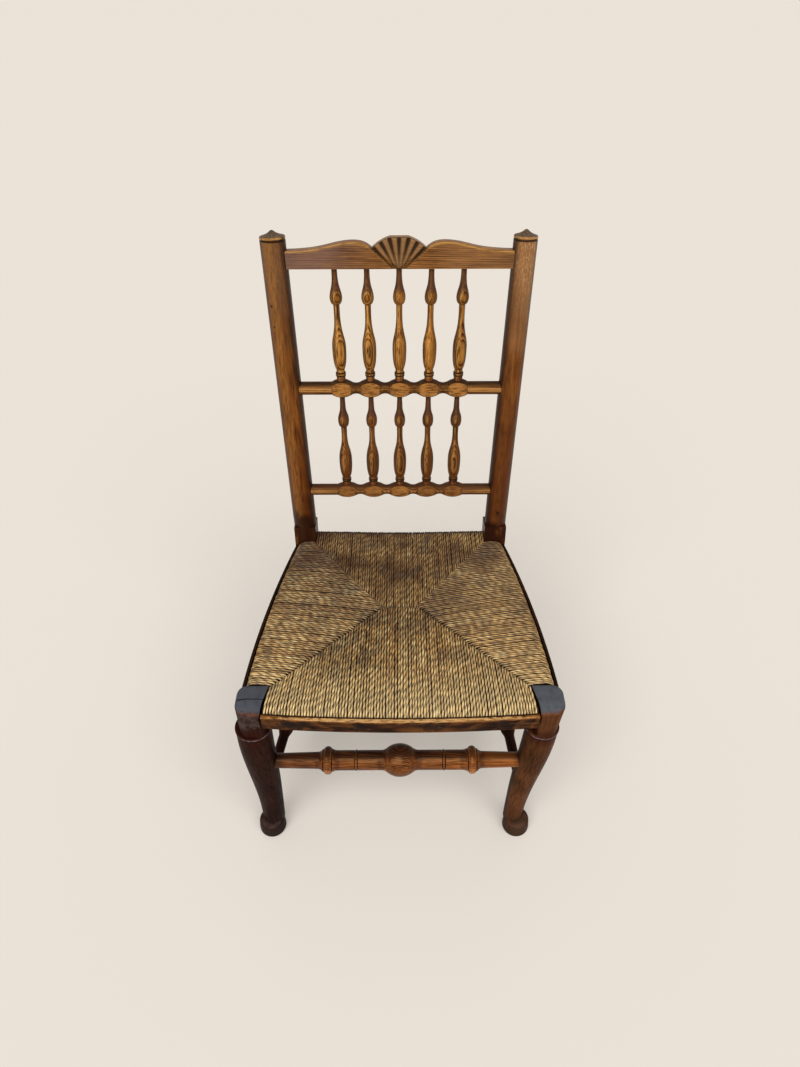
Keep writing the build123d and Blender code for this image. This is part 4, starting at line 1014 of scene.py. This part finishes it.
# The edge strips. Thin strips of ash nailed over the wound rush. Their faces are black with
# age, and the front one's upper edge has been rubbed back to pale wood.
strip_tones = (stain(20, 11, 8), stain(46, 26, 15), stain(66, 38, 21), stain(120, 74, 36))
nail_height = 0.362
for name, grain in (("front", (1, 0, 0)), ("left", (0.15, 1, 0)), ("right", (-0.15, 1, 0))):
    strip_figure = {"figure": 0.5, "wander": 5.0, "rub": 0.2, "wax": 1.1}
    strip = old_wood(f"strip_{name}", grain, (0.0, 0.0, 0.36), 0.0016, strip_tones, **strip_figure)
    lay_over(strip, patches(strip, 26.0, 0.5, 0.68, 0.8, (2.5, 2.5, 1)), stain(30, 20, 16))
    lay_over(strip, patches(strip, 20.0, 0.56, 0.7, 0.6, (3, 3, 1)), stain(120, 74, 34))
    if name == "front":
        strip_low, strip_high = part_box("edge_strip_front")
        # The nails have stained the wood round them
        for share in (0.12, 0.36, 0.62, 0.87):
            nail = (strip_low.x + (strip_high.x - strip_low.x) * share, strip_low.y + 0.003, nail_height)
            lay_over(strip, spot(strip, nail, 0.014, 0.8, (1.8, 1, 1)), stain(26, 20, 18))
        upper_edge = (0, strip_low.y, strip_high.z)
        brown = along(strip, (0, -0.25, 1), upper_edge, -0.0062, -0.0034, 0.8, 0.0016)
        lay_over(strip, broken(strip, brown, 340.0, 0.35, 0.6, 1.0, (6, 1, 1)), stain(150, 96, 46))
        pale = along(strip, (0, -0.25, 1), upper_edge, -0.0024, -0.0012, 0.9, 0.0008, 120.0)
        lay_over(strip, broken(strip, pale, 380.0, 0.3, 0.55, 1.0, (5, 1, 1)), stain(214, 168, 110))
        # Behind its bowed face the strip is dark
        tree = strip.node_tree
        place = node(tree, "ShaderNodeSeparateXYZ", {"Vector": place_in(tree)}).outputs
        across = work_out(tree, "SUBTRACT", place["X"], middle_x)
        squared = work_out(tree, "MULTIPLY", across, across)
        bow = work_out(tree, "MULTIPLY", squared, front_bow / front_half**2)
        depth = work_out(tree, "SUBTRACT", place["Y"], bow)
        behind = level(tree, depth, strip_low.y + 0.0040, strip_low.y + 0.0052, 0.0, 0.92)
        lay_over(strip, behind, stain(24, 16, 12))
    else:
        lay_over(strip, patches(strip, 40.0, 0.2, 0.5, 0.75), stain(26, 18, 15))
    finish_node(f"edge_strip_{name}", strip)

# The nails that hold the strips. They are small, forged of iron, driven through the strips
# into the rails, and have gone black.
nail_iron = speckled("nail_iron", 900.0, 4.0, stain(28, 24, 24), stain(70, 42, 30), 0.65, 0.6)
finish_node("strip_nails", nail_iron)
